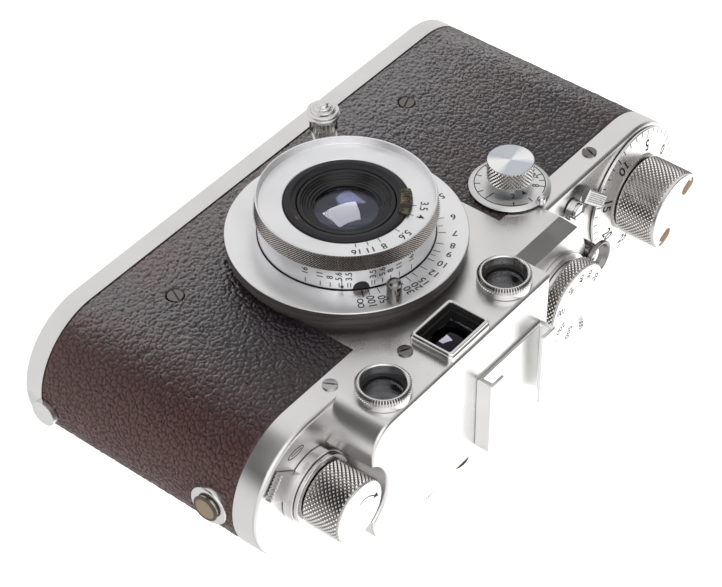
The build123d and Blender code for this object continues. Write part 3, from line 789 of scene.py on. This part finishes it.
dome("front_glass", 6.33, 9.55, 0.95, 9.2, LENS_GLASS, "tube", on_lens, "front_element")
dish_r = 22.0
hollow = [6.4 * (1 - k / 12) for k in range(13)]
dish = [(r, 7.4 + dish_r - math.sqrt(dish_r ** 2 - r ** 2)) for r in hollow]
verts, faces = lathe([(0.0, 7.0), (6.4, 7.0)] + dish, 96)
make("inner_glass", on_lens(verts), faces, LENS_INNER, "tube", sharp=60.0)

# ------------------------------------------------------------------ focus lever with its lock button
lever_end = middle("infinity_button")


def focus_arm():
    along = Vector((lever_end.x - axis_lens.x, lever_end.z - axis_lens.z))
    reach = along.length / MM
    u = along.normalized()
    root, half_root, tip_r = 17.32, 2.4, 2.8
    fan = [math.asin(half_root / root) * (1 - k / 4) for k in range(9)]
    tip = [math.radians(a) for a in range(-90, 91, 15)]
    outline = ([(root * math.cos(a), root * math.sin(a)) for a in fan]
               + [(reach - 0.2 + tip_r * math.cos(a), 2.5 * math.sin(a)) for a in tip])
    verts, faces = prism([(u.x * x - u.y * y, u.y * x + u.x * y) for x, y in outline], 4.6, 6.2)
    bevelled(make("lever_arm", on_lens(verts), faces, SATIN, "focus", "focus_lever"), 0.3)


def fluted(name, radius, low, high, count, depth, inner, where, mat, body):
    """A cylinder with upright flutes and closed ends."""
    columns = count * 6
    verts = []
    for h, less in ((low, 0.18), (low + 0.15, 0), (high - 0.15, 0), (high, 0.18)):
        for i in range(columns):
            groove = depth * (0.5 - 0.5 * math.cos(TAU * (i % 6) / 6))
            verts.append(polar(radius - groove - less, TAU * i / columns, h))
    verts += ring(inner, high, columns) + ring(inner, low, columns)
    make(name, where(verts), skin(6, columns), mat, body, sharp=40.0)


focus_arm()
on_handle = front(lever_end)
fluted("lever_shaft", 2.86, 6.1, 9.2, 20, 0.45, 1.3, on_handle, KNURL_DARK, "focus")
turned("lock_button_cap",
       [(0.0, 7.75), (1.1, 7.75), (1.1, 10.6), (2.92, 10.6), (2.92, 9.25), (3.15, 9.25), (3.4, 9.5),
        (3.4, 10.0),
        (3.1, 10.15), (3.1, 10.35), (3.3, 10.5), (3.3, 10.75), (2.75, 10.95), (2.55, 10.9), (2.45, 11.35),
        (2.15, 11.5), (1.95, 11.45), (1.8, 11.9), (1.5, 12.05), (1.3, 12.0), (1.15, 12.4), (0.7, 12.65),
        (0.0, 12.7)],
       on_handle, BRIGHT_SATIN, "lock_button", "infinity_button", 72, 0.1)

# ------------------------------------------------------------------ slow-speed dial
slow_face = 1.1
turned("slow_base", [(1.6, 0.0), (7.9, 0.0), (7.9, 0.3), (7.8, 0.35), (1.6, 0.35)],
       on_slow, BLACK_EDGE_AND_GAP_SHADE, "body", "slow_dial_base", 96, 0.03)
turned("slow_plate", [(1.5, 0.4), (8.15, 0.4), (8.3, 0.5), (8.25, 0.62), (7.35, slow_face), (1.5, slow_face)],
       on_slow, SATIN_GREY, "slow_dial", "slow_dial_plate", 128, 0.05)
turned("slow_pin", [(0.0, 0.45), (0.75, 0.5), (0.9, 0.9), (0.9, 1.5), (0.8, 1.9), (0.5, 2.2), (0.0, 2.3)],
       front(axis_slow + Vector((0.0007, 0, 0.0082))), BRIGHT, "slow_dial", segments=32)
slow_marks = Marks()
slow_h = slow_face + 0.01
slow_marks.arc_on_disc(7.12, 0.2, -110, 66, slow_h, 60)
slow_marks.arc_on_disc(7.12, 0.2, 102, 170, slow_h, 30)
for text, degrees, radius in (("20", 150.0, 5.3), ("8", 118.0, 5.3), ("4", 77.7, 4.3), ("2", 44.5, 4.3),
                              ("1", -8.0, 5.3)):
    slow_marks.text_on_disc(text, 2.0, radius, degrees, slow_h, own=180.0)
for degrees in (-100, -72, -50, -28, -8, 42.6, 75, 118, 134, 150):
    slow_marks.bar_on_disc(5.9, 7.1, 0.24, degrees, slow_h)
slow_marks.build("slow_dial_marks", on_slow, "slow_dial")
fine_knurl("slow_knob_knurl", 4.8, 2.5, 6.95, 72, 9, 0.40, 4.0, on_slow, KNURL, "slow_dial", chamfer=0.12)
turned("slow_knob_core",
       [(0.0, 1.1), (2.2, 1.1), (2.2, 2.6), (4.2, 2.6), (4.0, 2.8), (4.0, 6.95), (4.7, 6.96), (4.7, 7.04),
        (4.55, 7.12), (0.0, 7.12)],
       on_slow, spun_metal("slow_knob_top", axis_slow), "slow_dial", "slow_dial_knob", 128, 0.04)


# ------------------------------------------------------------------ rangefinder windows and viewfinder frame
def window_bezel(name, centre, stands_for=None):
    """Round bezel whose outer rim is cut into fine teeth, with a stepped dark inside."""
    columns = 62 * 4
    rows = [(3.9, -3.0, 3.9, -3.0), (5.1, -0.02, 5.1, -0.02), (5.42, 0.15, 5.42, 0.15),
            (5.42, 1.45, 5.42, 1.45),
            (5.42, 1.6, 4.98, 1.7), (5.42, 2.15, 4.96, 2.0), (4.98, 2.6, 4.9, 2.15), (4.78, 2.62, 4.78, 2.58),
            (4.55, 2.6, 4.55, 2.6), (4.38, 2.45, 4.38, 2.45), (4.35, 0.4, 4.35, 0.4), (3.9, 0.2, 3.9, 0.2)]
    verts = []
    for r, h, notch_r, notch_h in rows:
        for i in range(columns):
            out, height = (notch_r, notch_h) if i % 4 < 2 else (r, h)
            verts.append(polar(out, TAU * i / columns, height))
    obj = make(name, front(centre)(verts), skin(len(rows), columns), [BRIGHT_SATIN, BLACK_IN, DARK_WORN],
               "body",
               stands_for, sharp=30.0)

    def pick(at):
        r = math.hypot(at.x - centre.x / MM, at.z - centre.z / MM)
        out = front_y / MM - at.y
        return 1 if r < 4.36 and out < 1.2 else 2 if 1.65 < out < 2.4 and 4.8 < r < 5.08 else 0
    repaint(obj, pick)


def rounded_box(width, height, radius):
    x, y = width / 2 - radius, height / 2 - radius
    points = []
    for cx, cy, start in ((x, y, 0), (-x, y, 90), (-x, -y, 180), (x, -y, 270)):
        points += arc(cx, cy, radius, start, start + 90, 6)
    return points


def nested(rows):
    """A solid skinned through rounded rectangles of (width, height, corner radius, depth)."""
    verts = [Vector((x, y, depth)) for w, h, radius, depth in rows for x, y in rounded_box(w, h, radius)]
    return verts, skin(len(rows), len(verts) // len(rows))


def pane(name, where, width, height, radius, depth, thick=0.8, stands_for=None):
    verts, faces = prism(rounded_box(width, height, radius), depth - thick, depth)
    make(name, where(verts), faces, FINDER_GLASS, "body", stands_for)


def well(name, where, width, height, radius, near, far):
    """Dark well behind a window: a tube with a closed back."""
    verts, faces = nested([(width, height, radius, near), (width, height, radius, far),
                           (width + 0.4, height + 0.4, radius, far - 0.3),
                           (width + 0.4, height + 0.4, radius, near)])
    count = len(verts) // 4
    faces += [list(range(count, 2 * count)), list(range(2 * count, 3 * count))[::-1]]
    make(name, where(verts), faces, BLACK_IN, "body")


bezel_low, bezel_high = low_of("rangefinder_bezels"), high_of("rangefinder_bezels")
window_r = (bezel_high.z - bezel_low.z) / 2
window_z = middle("rangefinder_bezels").z
for name, x, first, far in (("left", bezel_low.x + window_r, True, -4.5),
                            ("right", bezel_high.x - window_r, False, -8.0)):
    spot = Vector((x, 0, window_z))
    window_bezel("bezel_" + name, spot, "rangefinder_bezels" if first else None)
    pane("pane_" + name, front(spot), 7.7, 7.7, 3.8, -0.6, stands_for="finder_glasses" if first else None)
    well("well_" + name, front(spot), 7.2, 7.2, 3.4, -1.5, far)

view_at = middle("viewfinder_frame")
on_view = front(view_at)
view_size = (high_of("viewfinder_frame") - low_of("viewfinder_frame")) / MM
view_w, view_h = view_size.x, view_size.z
verts, faces = nested([
    (11.5, 8.5, 0.5, -1.9), (11.5, 8.5, 0.5, 0.0), (view_w - 0.1, view_h - 0.1, 1.0, 0.0),
    (view_w, view_h, 1.1, 0.12),
    (view_w, view_h, 1.1, 1.25), (view_w - 0.25, view_h - 0.25, 1.0, 1.45),
        (view_w - 0.5, view_h - 0.5, 0.9, 1.5),
    (view_w - 0.6, view_h - 0.6, 0.85, 1.9), (view_w - 0.8, view_h - 0.8, 0.8, 2.0), (11.2, 8.3, 0.5, 2.0),
    (11.0, 8.1, 0.4, 1.85), (10.6, 7.8, 0.35, 0.5), (9.8, 7.0, 0.3, 0.5), (9.8, 7.0, 0.3, -1.9)])
view = make("viewfinder_frame_front", on_view(verts), faces, [BRIGHT_SATIN, BLACK_IN], "body",
            "viewfinder_frame",
            sharp=25.0)
repaint(view, lambda at: int(abs(at.x - view_at.x / MM) < 5.55 and abs(at.z - view_at.z / MM) < 4.1
                             and front_y / MM - at.y < 1.8))
pane("pane_view", on_view, 9.7, 6.9, 0.3, -1.52, 0.35)
dome("view_lens", 3.45, -1.45, 0.75, -1.5, VIEW_LENS, "body", on_view)
well("well_view", on_view, 9.4, 6.8, 0.4, -2.2, -12.0)


# ------------------------------------------------------------------ slotted screws
def screw(name, where, radius, turn, mat, face, dome_by=0.12, slot_w=0.42, slot_d=0.35, foot=0.6,
          stands_for=None):
    """Slightly domed slotted head; face is the height of its rim in millimetres."""
    bm = bmesh.new()
    crown = [(radius * 0.96 * t, face + dome_by * (1 - t * t)) for t in (k / 5 for k in range(1, 6))]
    points, quads = lathe([(0.0, face + dome_by)] + crown
                          + [(radius, face - 0.06), (radius, face - foot), (0.0, face - foot)], 48)
    made = [bm.verts.new(p) for p in points]
    for quad in quads:
        bm.faces.new([made[i] for i in quad])
    floor_h = face - slot_d
    side = spin(turn) @ Vector((0, 1, 0))
    half = slot_w / 2
    for spot, normal in ((side * -half, side), (side * half, side),
                         (Vector((0, 0, floor_h)), Vector((0, 0, 1)))):
        bmesh.ops.bisect_plane(bm, geom=bm.verts[:] + bm.edges[:] + bm.faces[:], plane_co=spot,
                               plane_no=normal,
                               dist=1e-6)
    bm.faces.ensure_lookup_table()
    middles = [(one, one.calc_center_median()) for one in bm.faces]
    inside = [one for one, at in middles if abs(at.dot(side)) < half - 1e-4 and at.z > floor_h + 1e-4]
    bmesh.ops.delete(bm, geom=inside, context="FACES")
    rim = [e for e in bm.edges if e.is_boundary]
    lowered = {}
    for vert in dict.fromkeys(vert for e in rim for vert in e.verts):
        if vert.co.z > floor_h + 1e-5:
            lowered[vert] = bm.verts.new((vert.co.x, vert.co.y, floor_h))
    for e in rim:
        a, b = e.verts
        corners = []
        if a in lowered and b in lowered:
            corners = [a, b, lowered[b], lowered[a]]
        elif a in lowered or b in lowered:
            top, flat = (a, b) if a in lowered else (b, a)
            if (lowered[top].co - flat.co).length > 1e-5:
                corners = [top, flat, lowered[top]]
        if corners and not bm.faces.get(corners):
            bm.faces.new(corners)
    bmesh.ops.remove_doubles(bm, verts=bm.verts, dist=1e-5)
    bmesh.ops.holes_fill(bm, edges=[e for e in bm.edges if e.is_boundary], sides=0)
    bmesh.ops.recalc_face_normals(bm, faces=bm.faces)
    for vert, co in zip(bm.verts[:], where([v.co.copy() for v in bm.verts])):
        vert.co = co
    mesh = bpy.data.meshes.new(name)
    bm.to_mesh(mesh)
    bm.free()
    finish_piece(name, mesh, mat, "body", stands_for, 28.0)


for name, x, z, radius, turn, mat, face, node_name in (
        ("screw_leather_right", 0.0418, 0.0165, 1.62, 65, DARK_WORN, -0.12, "case_screws"),
        ("screw_leather_left", -0.0319, 0.0153, 1.62, 20, DARK_WORN, -0.12, None),
        ("screw_strip_left", -0.0417, 0.0546, 1.52, 70, DARK_WORN, 0.32, None),
        ("screw_strip_right", 0.0424, 0.0550, 1.52, 120, STEEL, 0.32, None),
        ("screw_strip_finder", 0.0269, 0.0604, 1.52, 150, DARK_WORN, 0.32, None)):
    screw(name, front(Vector((x, 0, z))), radius, turn, mat, face, stands_for=node_name)


# ------------------------------------------------------------------ winding knob and frame counter
def cut_out(obj, verts, faces):
    """Cuts closed shapes out of a piece for good; the cut faces take its second material."""
    mesh = solid("cutter", verts, faces)
    for mat in obj.data.materials:
        mesh.materials.append(mat)
    for polygon in mesh.polygons:
        polygon.material_index = 1
    cutter = link("cutter", mesh)
    mod = obj.modifiers.new("cut", "BOOLEAN")
    mod.operation = "DIFFERENCE"
    mod.solver = "EXACT"
    mod.material_mode = "INDEX"
    mod.object = cutter
    bpy.context.view_layer.update()
    result = bpy.data.meshes.new_from_object(obj.evaluated_get(bpy.context.evaluated_depsgraph_get()))
    obj.modifiers.remove(mod)
    bpy.data.objects.remove(cutter)
    old, obj.data = obj.data, result
    for spent in (mesh, old):
        bpy.data.meshes.remove(spent)
    result.shade_smooth()
    result.set_sharp_from_angle(angle=math.radians(30))


fine_knurl("wind_knob_knurl", 8.7, wind_base, wind_top - 0.25, 100, 19, 0.46, 7.0, on_wind, KNURL, "wind",
           fine=3, chamfer=0.25)
verts, faces = lathe([(0.0, wind_top - 1.6), (8.35, wind_top - 1.6), (8.35, wind_top - 0.35),
                      (8.35, wind_top - 0.12),
                      (8.22, wind_top), (0.0, wind_top)], 144, closed=False)
wind_face = make("wind_knob_top", on_wind(verts), faces, [SATIN_TOP, BRASS_DARK], "wind", "wind_knob")
slots = Marks()
for side in (1, -1):
    outline = [spin(24) @ Vector((x, y, 0)) + side * Vector((3.8, 4.4, 0))
               for x, y in arc(0.8, 0, 1.4, -90, 90, 10) + arc(-0.8, 0, 1.4, 90, 270, 10)]
    slots.add(*prism([(p.x, p.y) for p in outline], wind_top - 1.1, wind_top + 1))
cut_out(wind_face, on_wind(slots.verts), slots.faces)

turned("counter_dial",
       [(2.6, 58.15), (14.35, 58.15), (14.5, 58.3), (14.5, 58.7), (14.4, 58.82), (9.4, 59.8), (2.6, 59.8)],
       on_wind, SATIN, "counter", "frame_counter_dial", 160, 0.06)


def on_cone(points):
    """Lifts points to just above the counter dial's sloping face."""
    return [Vector((p.x, p.y, 58.82 + (14.4 - math.hypot(p.x, p.y)) / 5.0 * 0.98 + 0.012)) for p in points]


count_marks = Marks()
for k in range(40):
    degrees = -107.0 + (k - 5) * 9.0
    inner = 13.3 if k % 5 else 12.6
    count_marks.quad(on_cone([spin(degrees) @ Vector((r, across, 0)) for r, across in
                              ((inner, -0.12), (inner, 0.12), (14.3, 0.12), (14.3, -0.12))]))
    if k % 5 == 0:
        verts, faces = glyphs(str(k), 3.3, 0.02)
        count_marks.add(on_cone([spin(degrees + 90) @ Vector((v.x, v.y - 11.1, 0)) for v in verts]), faces)
count_marks.build("counter_marks", on_wind, "counter")

# ------------------------------------------------------------------ shutter speed dial and release
turned("sync_collar", [(3.05, shelf), (8.9, shelf), (9.0, shelf + 0.1), (9.0, shelf + 0.9), (8.9, shelf + 1.0),
                       (3.05, shelf + 1.0)], on_speed, SATIN, "body", "sync_ring", 128, 0.05)
fine_knurl("speed_knurl", 9.0, 66.3, 69.65, 104, 7, 0.40, 7.4, on_speed, KNURL, "speed_dial")
turned("speed_face", [(0.0, 67.1), (3.05, 67.1), (3.05, 65.1), (7.3, 65.1), (7.4, 65.2), (7.4, 66.0),
                      (8.0, 66.3),
                      (8.0, 69.3), (8.62, 69.42), (8.62, 69.6), (8.5, 69.7), (0.0, 69.7)],
       on_speed, SATIN_TOP, "speed_dial", "speed_dial", 128, 0.06)
speed_marks = Marks()
for text, degrees in (("20", -150), ("30", -122), ("40", -95), ("60", -62), ("100", -20), ("200", 22),
                      ("500", 62),
                      ("1000", 102)):
    speed_marks.text_on_disc(text, 2.0, 6.4, degrees, 69.712, own=90.0)
speed_marks.build("speed_digits", on_speed, "speed_dial")

turned("release_cup",
       [(2.05, 58.0), (2.55, 58.0), (2.55, 63.6), (2.9, 64.2), (4.05, 64.7), (4.1, 64.9), (4.1, 65.5),
        (4.0, 65.6),
        (3.6, 65.6), (3.45, 65.45), (3.0, 64.7), (2.1, 63.9)], on_release, SHADED_BRIGHT_CHROME, "body",
            "release_collar", 96)
turned("release_pin", [(0.0, 46.0), (1.2, 46.0), (1.2, 62.2), (2.0, 62.2), (2.0, 64.2), (1.85, 64.4),
                       (0.8, 64.3),
                       (0.55, 64.0), (0.0, 63.9)], on_release, BRIGHT, "release", "release_button", 64, 0.08)

# ------------------------------------------------------------------ film advance and rewind lever
lever_x, lever_y = -30.7, -4.9
on_lever = up(Vector((lever_x, lever_y, 0)) * MM)


def lever_pad():
    """Cross-knurled pad: rows of small pyramids on a block, two grid cells to a pyramid."""
    size_x, size_y, low, high, margin = 8.8, 3.0, 59.4, 61.0, 0.25
    gx, gy = 34, 12
    across = gx + 1
    verts, faces = [], []
    for j in range(gy + 1):
        for i in range(across):
            peak = i % 2 == 1 and j % 2 == 1
            verts.append(Vector(((size_x - 2 * margin) * (i / gx - 0.5),
                                 (size_y - 2 * margin) * (j / gy - 0.5),
                                 high if peak else high - 0.26)))
    for j in range(gy):
        for i in range(gx):
            a = j * across + i
            b, c, d = a + 1, a + across + 1, a + across
            faces += [[a, b, c], [a, c, d]] if (i + j) % 2 == 0 else [[a, b, d], [b, c, d]]
    rim = ([j * across for j in range(gy + 1)][::-1] + list(range(1, across))
           + [j * across + gx for j in range(1, gy + 1)] + [gy * across + i for i in range(gx - 1, 0, -1)])
    walls = [rim]
    for h in (high - 0.5, low):
        walls.append(list(range(len(verts), len(verts) + len(rim))))
        for index in rim:
            i, j = index % across, index // across
            out = Vector(((i == gx) - (i == 0), (j == gy) - (j == 0))) * margin
            verts.append(Vector((verts[index].x + out.x, verts[index].y + out.y, h)))
    for upper, lower in zip(walls, walls[1:]):
        for i, point in enumerate(upper):
            n = (i + 1) % len(rim)
            faces.append([point, upper[n], lower[n], lower[i]])
    faces.append(walls[2][::-1])
    placed = [spin(138) @ v + Vector((-5.2, -0.25, 0)) for v in verts]
    make("film_lever_pad", on_lever(placed), faces, BRIGHT, "film_lever", sharp=20.0)


verts, faces = prism([(-6.9, -1.0), (-5.0, -1.25), (-1.9, -1.5)] + arc(0, 0, 2.4, 218, 502, 24)
                     + [(-5.0, 1.15), (-6.9, 0.9)], 58.9, 59.6)
bevelled(make("film_lever_arm", on_lever(verts), faces, BRIGHT, "film_lever", "advance_rewind_lever"), 0.18)
turned("film_lever_boss", [(1.05, 58.2), (2.3, 58.2), (2.4, 58.3), (2.4, 58.95), (1.05, 58.95)],
       on_lever, BRIGHT, "film_lever", None, 48, 0.05)
lever_pad()
screw("film_lever_screw", on_lever, 1.8, 0, BRIGHT, 60.35, 0.15, 0.5, 0.4, 0.7)

# ------------------------------------------------------------------ rewind knob and the diopter ring under it
turned("rewind_hub", [(2.05, 58.0), (5.95, 58.0), (5.95, 60.3), (7.35, 60.3), (7.5, 60.45), (7.5, 61.05),
                      (7.35, 61.2),
                      (2.05, 61.2)], on_rewind, BRIGHT_SATIN, "body", "rewind_collar", 96, 0.06)
fine_knurl("rewind_knurl", 6.7, 61.4, 69.9, 76, 17, 0.44, 5.2, on_rewind, KNURL, "rewind_knob")
turned("rewind_face", [(0.0, 66.2), (2.05, 66.2), (2.05, 61.6), (5.3, 61.6), (5.3, 69.6), (6.38, 69.7),
                       (6.38, 69.85),
                       (6.25, 70.0), (0.0, 70.0)], on_rewind, SATIN_TOP, "rewind_knob", "rewind_knob", 96,
                           0.08)
arrow = Marks()
arrow_h = 70.012
bend = [Vector((x, y, arrow_h)) for x, y in ((0.0, -2.0), (-1.1, -2.4), (-2.5, -2.1), (-3.5, -1.5),
                                             (-4.4, -0.7))]
for start, end in zip(bend, bend[1:]):
    run = (end - start).normalized() * 0.13
    side = Vector((-run.y, run.x, 0))
    arrow.quad([start - side, start + side, end + side + run, end - side + run])
arrow.add([Vector((-4.75, -1.35, arrow_h)), Vector((-3.75, -0.35, arrow_h)), Vector((-5.35, 0.05, arrow_h))],
          [[0, 1, 2]])
arrow.build("rewind_arrow", on_rewind, "rewind_knob")

turned("diopter_ring", [(6.0, 58.1), (7.8, 58.1), (7.9, 58.2), (7.9, 60.1), (7.8, 60.2), (6.0, 60.2)],
       on_rewind, BRIGHT_SATIN, "diopter", "diopter_lever", 96, 0.05)
tab_half = 2.75
serrations = [(13.7 if k % 2 else 14.15, tab_half * (k / 8 - 1)) for k in range(17)]
verts, faces = prism([(7.3, -tab_half)] + serrations + [(7.3, tab_half)], 58.2, 59.6)
bevelled(make("diopter_tab", on_rewind([spin(-38) @ v for v in verts]), faces, SATIN_TOP, "diopter"), 0.08, 2)


# ------------------------------------------------------------------ accessory shoe, lugs, eyepieces
def shoe():
    """Bent rails open to the back, held by four screws."""
    centre = middle("accessory_shoe") / MM
    half = (high_of("accessory_shoe").y - low_of("accessory_shoe").y) / 2 / MM
    section = [(-10.6, 0), (10.6, 0), (10.6, 3.5), (6.3, 3.5), (6.3, 2.8), (9.3, 2.8), (9.3, 0.7),
               (-9.3, 0.7), (-9.3, 2.8), (-6.3, 2.8), (-6.3, 3.5), (-10.6, 3.5)]
    verts, faces = prism(section, -half, half)
    placed = [Vector((centre.x + v.x, centre.y + v.z, roof + v.y)) * MM for v in verts]
    bevelled(make("shoe_rails", placed, faces, SHOE_LIT_CHROME, "body", "accessory_shoe"), 0.3)
    for right, x, turn in ((0, -3.6, 100), (1, 3.6, 30)):
        for back, y in ((0, -5.6), (1, 5.6)):
            screw("shoe_screw_%d_%d" % (right, back), up(Vector((centre.x + x, centre.y + y, 0)) * MM),
                  1.25, turn,
                  STEEL, roof + 0.55, 0.08, 0.35, 0.3, 0.5, None if right or back else "shoe_screws")


def lugs():
    """Strap lugs: a plate on the body's end and a turned eyelet that stands out from it."""
    low, high = low_of("strap_lugs"), high_of("strap_lugs")
    centre = middle("strap_lugs")
    steps = [(0.0, -2.7), (4.1, -2.7), (4.2, -2.6), (4.2, -1.2), (4.0, -1.0), (2.3, -0.97), (2.05, -0.8),
             (2.55, -0.65), (2.8, -0.5), (2.8, -0.22), (2.6, -0.04), (2.35, 0), (2.15, -0.12), (1.2, -0.06),
             (0.0, -0.02)]
    for name, side, edge in (("left", -1, -low.x / MM), ("right", 1, high.x / MM)):
        def outward(verts):
            return [Vector((side * v.z * MM, centre.y + v.x * MM, centre.z + side * v.y * MM)) for v in verts]

        def pick(at):
            r = math.hypot(at.y - centre.y / MM, at.z - centre.z / MM)
            return 0 if abs(at.x) < edge - 0.72 else 1 if abs(at.x) > edge - 0.3 and r < 2.2 else 2
        lug = turned("strap_lug_" + name, [(r, edge + h) for r, h in steps], outward,
                     [BRIGHT_SATIN, LUG_BROWN, LUG_RIM], "body", "strap_lugs" if side < 0 else None, 72)
        repaint(lug, pick)


def eyepieces():
    """Two toothed rings at the back, each with its lens."""
    low, high = low_of("eyepieces"), high_of("eyepieces")
    z = middle("eyepieces").z
    back = high.y / MM
    wall = back - 3.0
    rows = [(2.6, wall - 4.0), (3.55, wall - 3.0), (3.55, wall), (4.25, wall), (4.4, wall + 0.15),
            (4.4, back - 0.7),
            (4.1, back - 0.2), (3.9, back), (3.55, back), (3.4, back - 0.15), (3.4, back - 1.0),
                (2.6, back - 1.2)]
    columns = 60 * 4
    for index, x, mat in ((0, low.x + 0.0044, BLACK), (1, high.x - 0.0044, BRIGHT_SATIN)):
        def backward(verts):
            return [Vector((x + v.x * MM, v.z * MM, z + v.y * MM)) for v in verts]
        verts = []
        for r, depth in rows:
            for i in range(columns):
                cut = 0.18 if 4.3 < r and i % 4 < 2 and depth > wall + 0.1 else 0.0
                verts.append(polar(r - cut, TAU * i / columns, depth))
        make("eyepiece_%d" % index, backward(verts), skin(len(rows), columns), mat, "body",
             None if index else "eyepieces", 30.0)
        verts, faces = lathe([(0.0, wall - 0.6), (2.58, wall - 0.6), (2.58, wall + 0.4), (1.3, wall + 0.62),
                              (0.0, wall + 0.7)], 48)
        make("eyepiece_glass_%d" % index, backward(verts), faces, FINDER_GLASS, "body", sharp=60.0)


shoe()
lugs()
eyepieces()

# ------------------------------------------------------------------ small marks on the deck
deck_marks = Marks()
deck_h = deck + 0.012
counter_window = Vector((56.0, -5.75, deck_h))
deck_marks.band(*[[counter_window + Vector((rx * v.x, ry * v.y, 0)) for v in ring(1, 0, 28)]
                  for rx, ry in ((2.0, 0.7), (2.25, 0.95))])
deck_marks.quad([Vector((x, y, deck_h)) for x, y in ((54.3, -5.85), (57.2, -5.85), (57.2, -5.65),
                                                     (54.3, -5.65))])
deck_marks.add([Vector((-40.4, 4.6, 0)) + v for v in ring(0.75, deck_h, 20)], [list(range(20))])
deck_marks.build("deck_marks", on_deck, "body")


# ------------------------------------------------------------------ camera, floor and light
def aim_camera():
    data = bpy.data.cameras.new("camera")
    cam = link("camera", data)
    cam.location = (0.279917, -0.324319, 0.254082)
    cam.rotation_euler = [math.radians(a) for a in (-42.71967762, -51.46481759, 179.39181045)]
    data.lens = 119.903
    data.sensor_width = 36.0
    data.clip_start = 0.01
    bpy.context.scene.camera = cam


def sheet(name, corners, mat, hidden_from):
    """A four-cornered surface of the studio; corners are (x, y, z) in millimetres."""
    mesh = bpy.data.meshes.new(name)
    mesh.from_pydata([Vector(c) * MM for c in corners], [], [[0, 1, 2, 3]])
    mesh.materials.append(mat)
    obj = link(name, mesh)
    for ray in hidden_from.split():
        setattr(obj, "visible_" + ray, False)
    return obj


def square(half, height):
    return [(-half, -half, height), (half, -half, height), (half, half, height), (-half, half, height)]


def floor():
    """Pale floor, lit from within like a light table so that it stays near white."""
    mat, tree, shader = principled("pale_floor")
    tint = ramp(tree, noise(tree, 3.0, 2.0), [(0.3, 0.90), (0.7, 0.93)])
    fill(tree, shader, {"Base Color": tint, "Roughness": 0.9, "Specular IOR Level": 0.1,
                        "Emission Color": tint, "Emission Strength": 0.80})
    sheet("floor", square(2000, 0), mat, "glossy")


def mirror_card():
    """What polished metal sees in place of the floor: white paper with a darker patch at the front right."""
    mat, tree, out = new_material("mirror_card")
    x, y, _ = axes(tree, in_place(tree))
    dark = maths(tree, "MULTIPLY", smooth_mask(tree, x, 0.035, 0.085), smooth_mask(tree, y, -0.008, -0.055))
    level = maths(tree, "MULTIPLY_ADD", dark, -0.78, 0.86)
    fill(tree, out, {"Surface": node(tree, "Emission", {"Strength": level})})
    sheet("mirror_card", square(2000, -0.4), mat, "camera diffuse shadow transmission")


def reflected_card(name, corners, level, seen_by, hidden_from="camera diffuse shadow transmission"):
    """Light panel that shows only in the given pieces."""
    mat, tree, out = new_material(name)
    glow = node(tree, "Emission", {"Strength": level})
    fill(tree, out, {"Surface": node(tree, "AddShader", {0: glow, 1: node(tree, "BsdfTransparent")})})
    mat.cycles.emission_sampling = "NONE"
    obj = sheet(name, corners, mat, hidden_from)
    receivers = bpy.data.collections.new(name + "_receivers")
    for piece in seen_by.split():
        receivers.objects.link(bpy.data.objects[piece])
    obj.light_linking.receiver_collection = receivers


def sky():
    """Soft studio room: each patch is (direction, level, cosine where it ends, cosine where it is full)."""
    world = bpy.data.worlds.new("room")
    bpy.context.scene.world = world
    world.use_nodes = True
    tree = world.node_tree
    tree.nodes.clear()
    direction = node(tree, "TexCoord", out="Generated")
    level = 0.50
    for way, strength, fade, full in (
            ((-0.57, 0.67, 0.47), 1.75, 0.55, 0.86), ((-0.57, -0.46, 0.68), 0.10, 0.62, 0.90),
            ((0.75, -0.30, 0.60), 0.95, 0.55, 0.90), ((0.10, -0.95, 0.30), 0.85, 0.60, 0.92),
            ((0.41, -0.66, 0.62), 1.5, 0.80, 0.95), ((0.41, 0.67, 0.61), 1.15, 0.80, 0.95)):
        toward = node(tree, "VectorMath", {0: direction, 1: Vector(way).normalized()}, "Value",
                      operation="DOT_PRODUCT")
        level = node(tree, "Mix", {"Factor": smooth_mask(tree, toward, fade, full), "A": level, "B": strength},
                     "Result", data_type="FLOAT")
    back = node(tree, "Background", {"Color": (1, 1, 1, 1), "Strength": level})
    fill(tree, tree.nodes.new("ShaderNodeOutputWorld"), {0: back})


aim_camera()
floor()
mirror_card()
reflected_card("lens_window", [(1, -54, -0.2), (-46, -64, -0.2), (-113, -225, -0.2), (-6, -136, -0.2)], 20.0,
               "front_glass view_lens")
reflected_card("lens_window_high", [(0, -68, 0.3), (-56, -141, 0.3), (-600, -1650, 0.3), (40, -1650, 0.3)],
               27.0,
               "inner_glass front_glass", "camera diffuse shadow glossy")
reflected_card("leather_light", [(-150, -42, -0.3), (60, -42, -0.3), (60, -11, -0.3), (-150, -11, -0.3)], 2.2,
               "leather")
sky()
bpy.context.scene.view_settings.view_transform = "Standard"
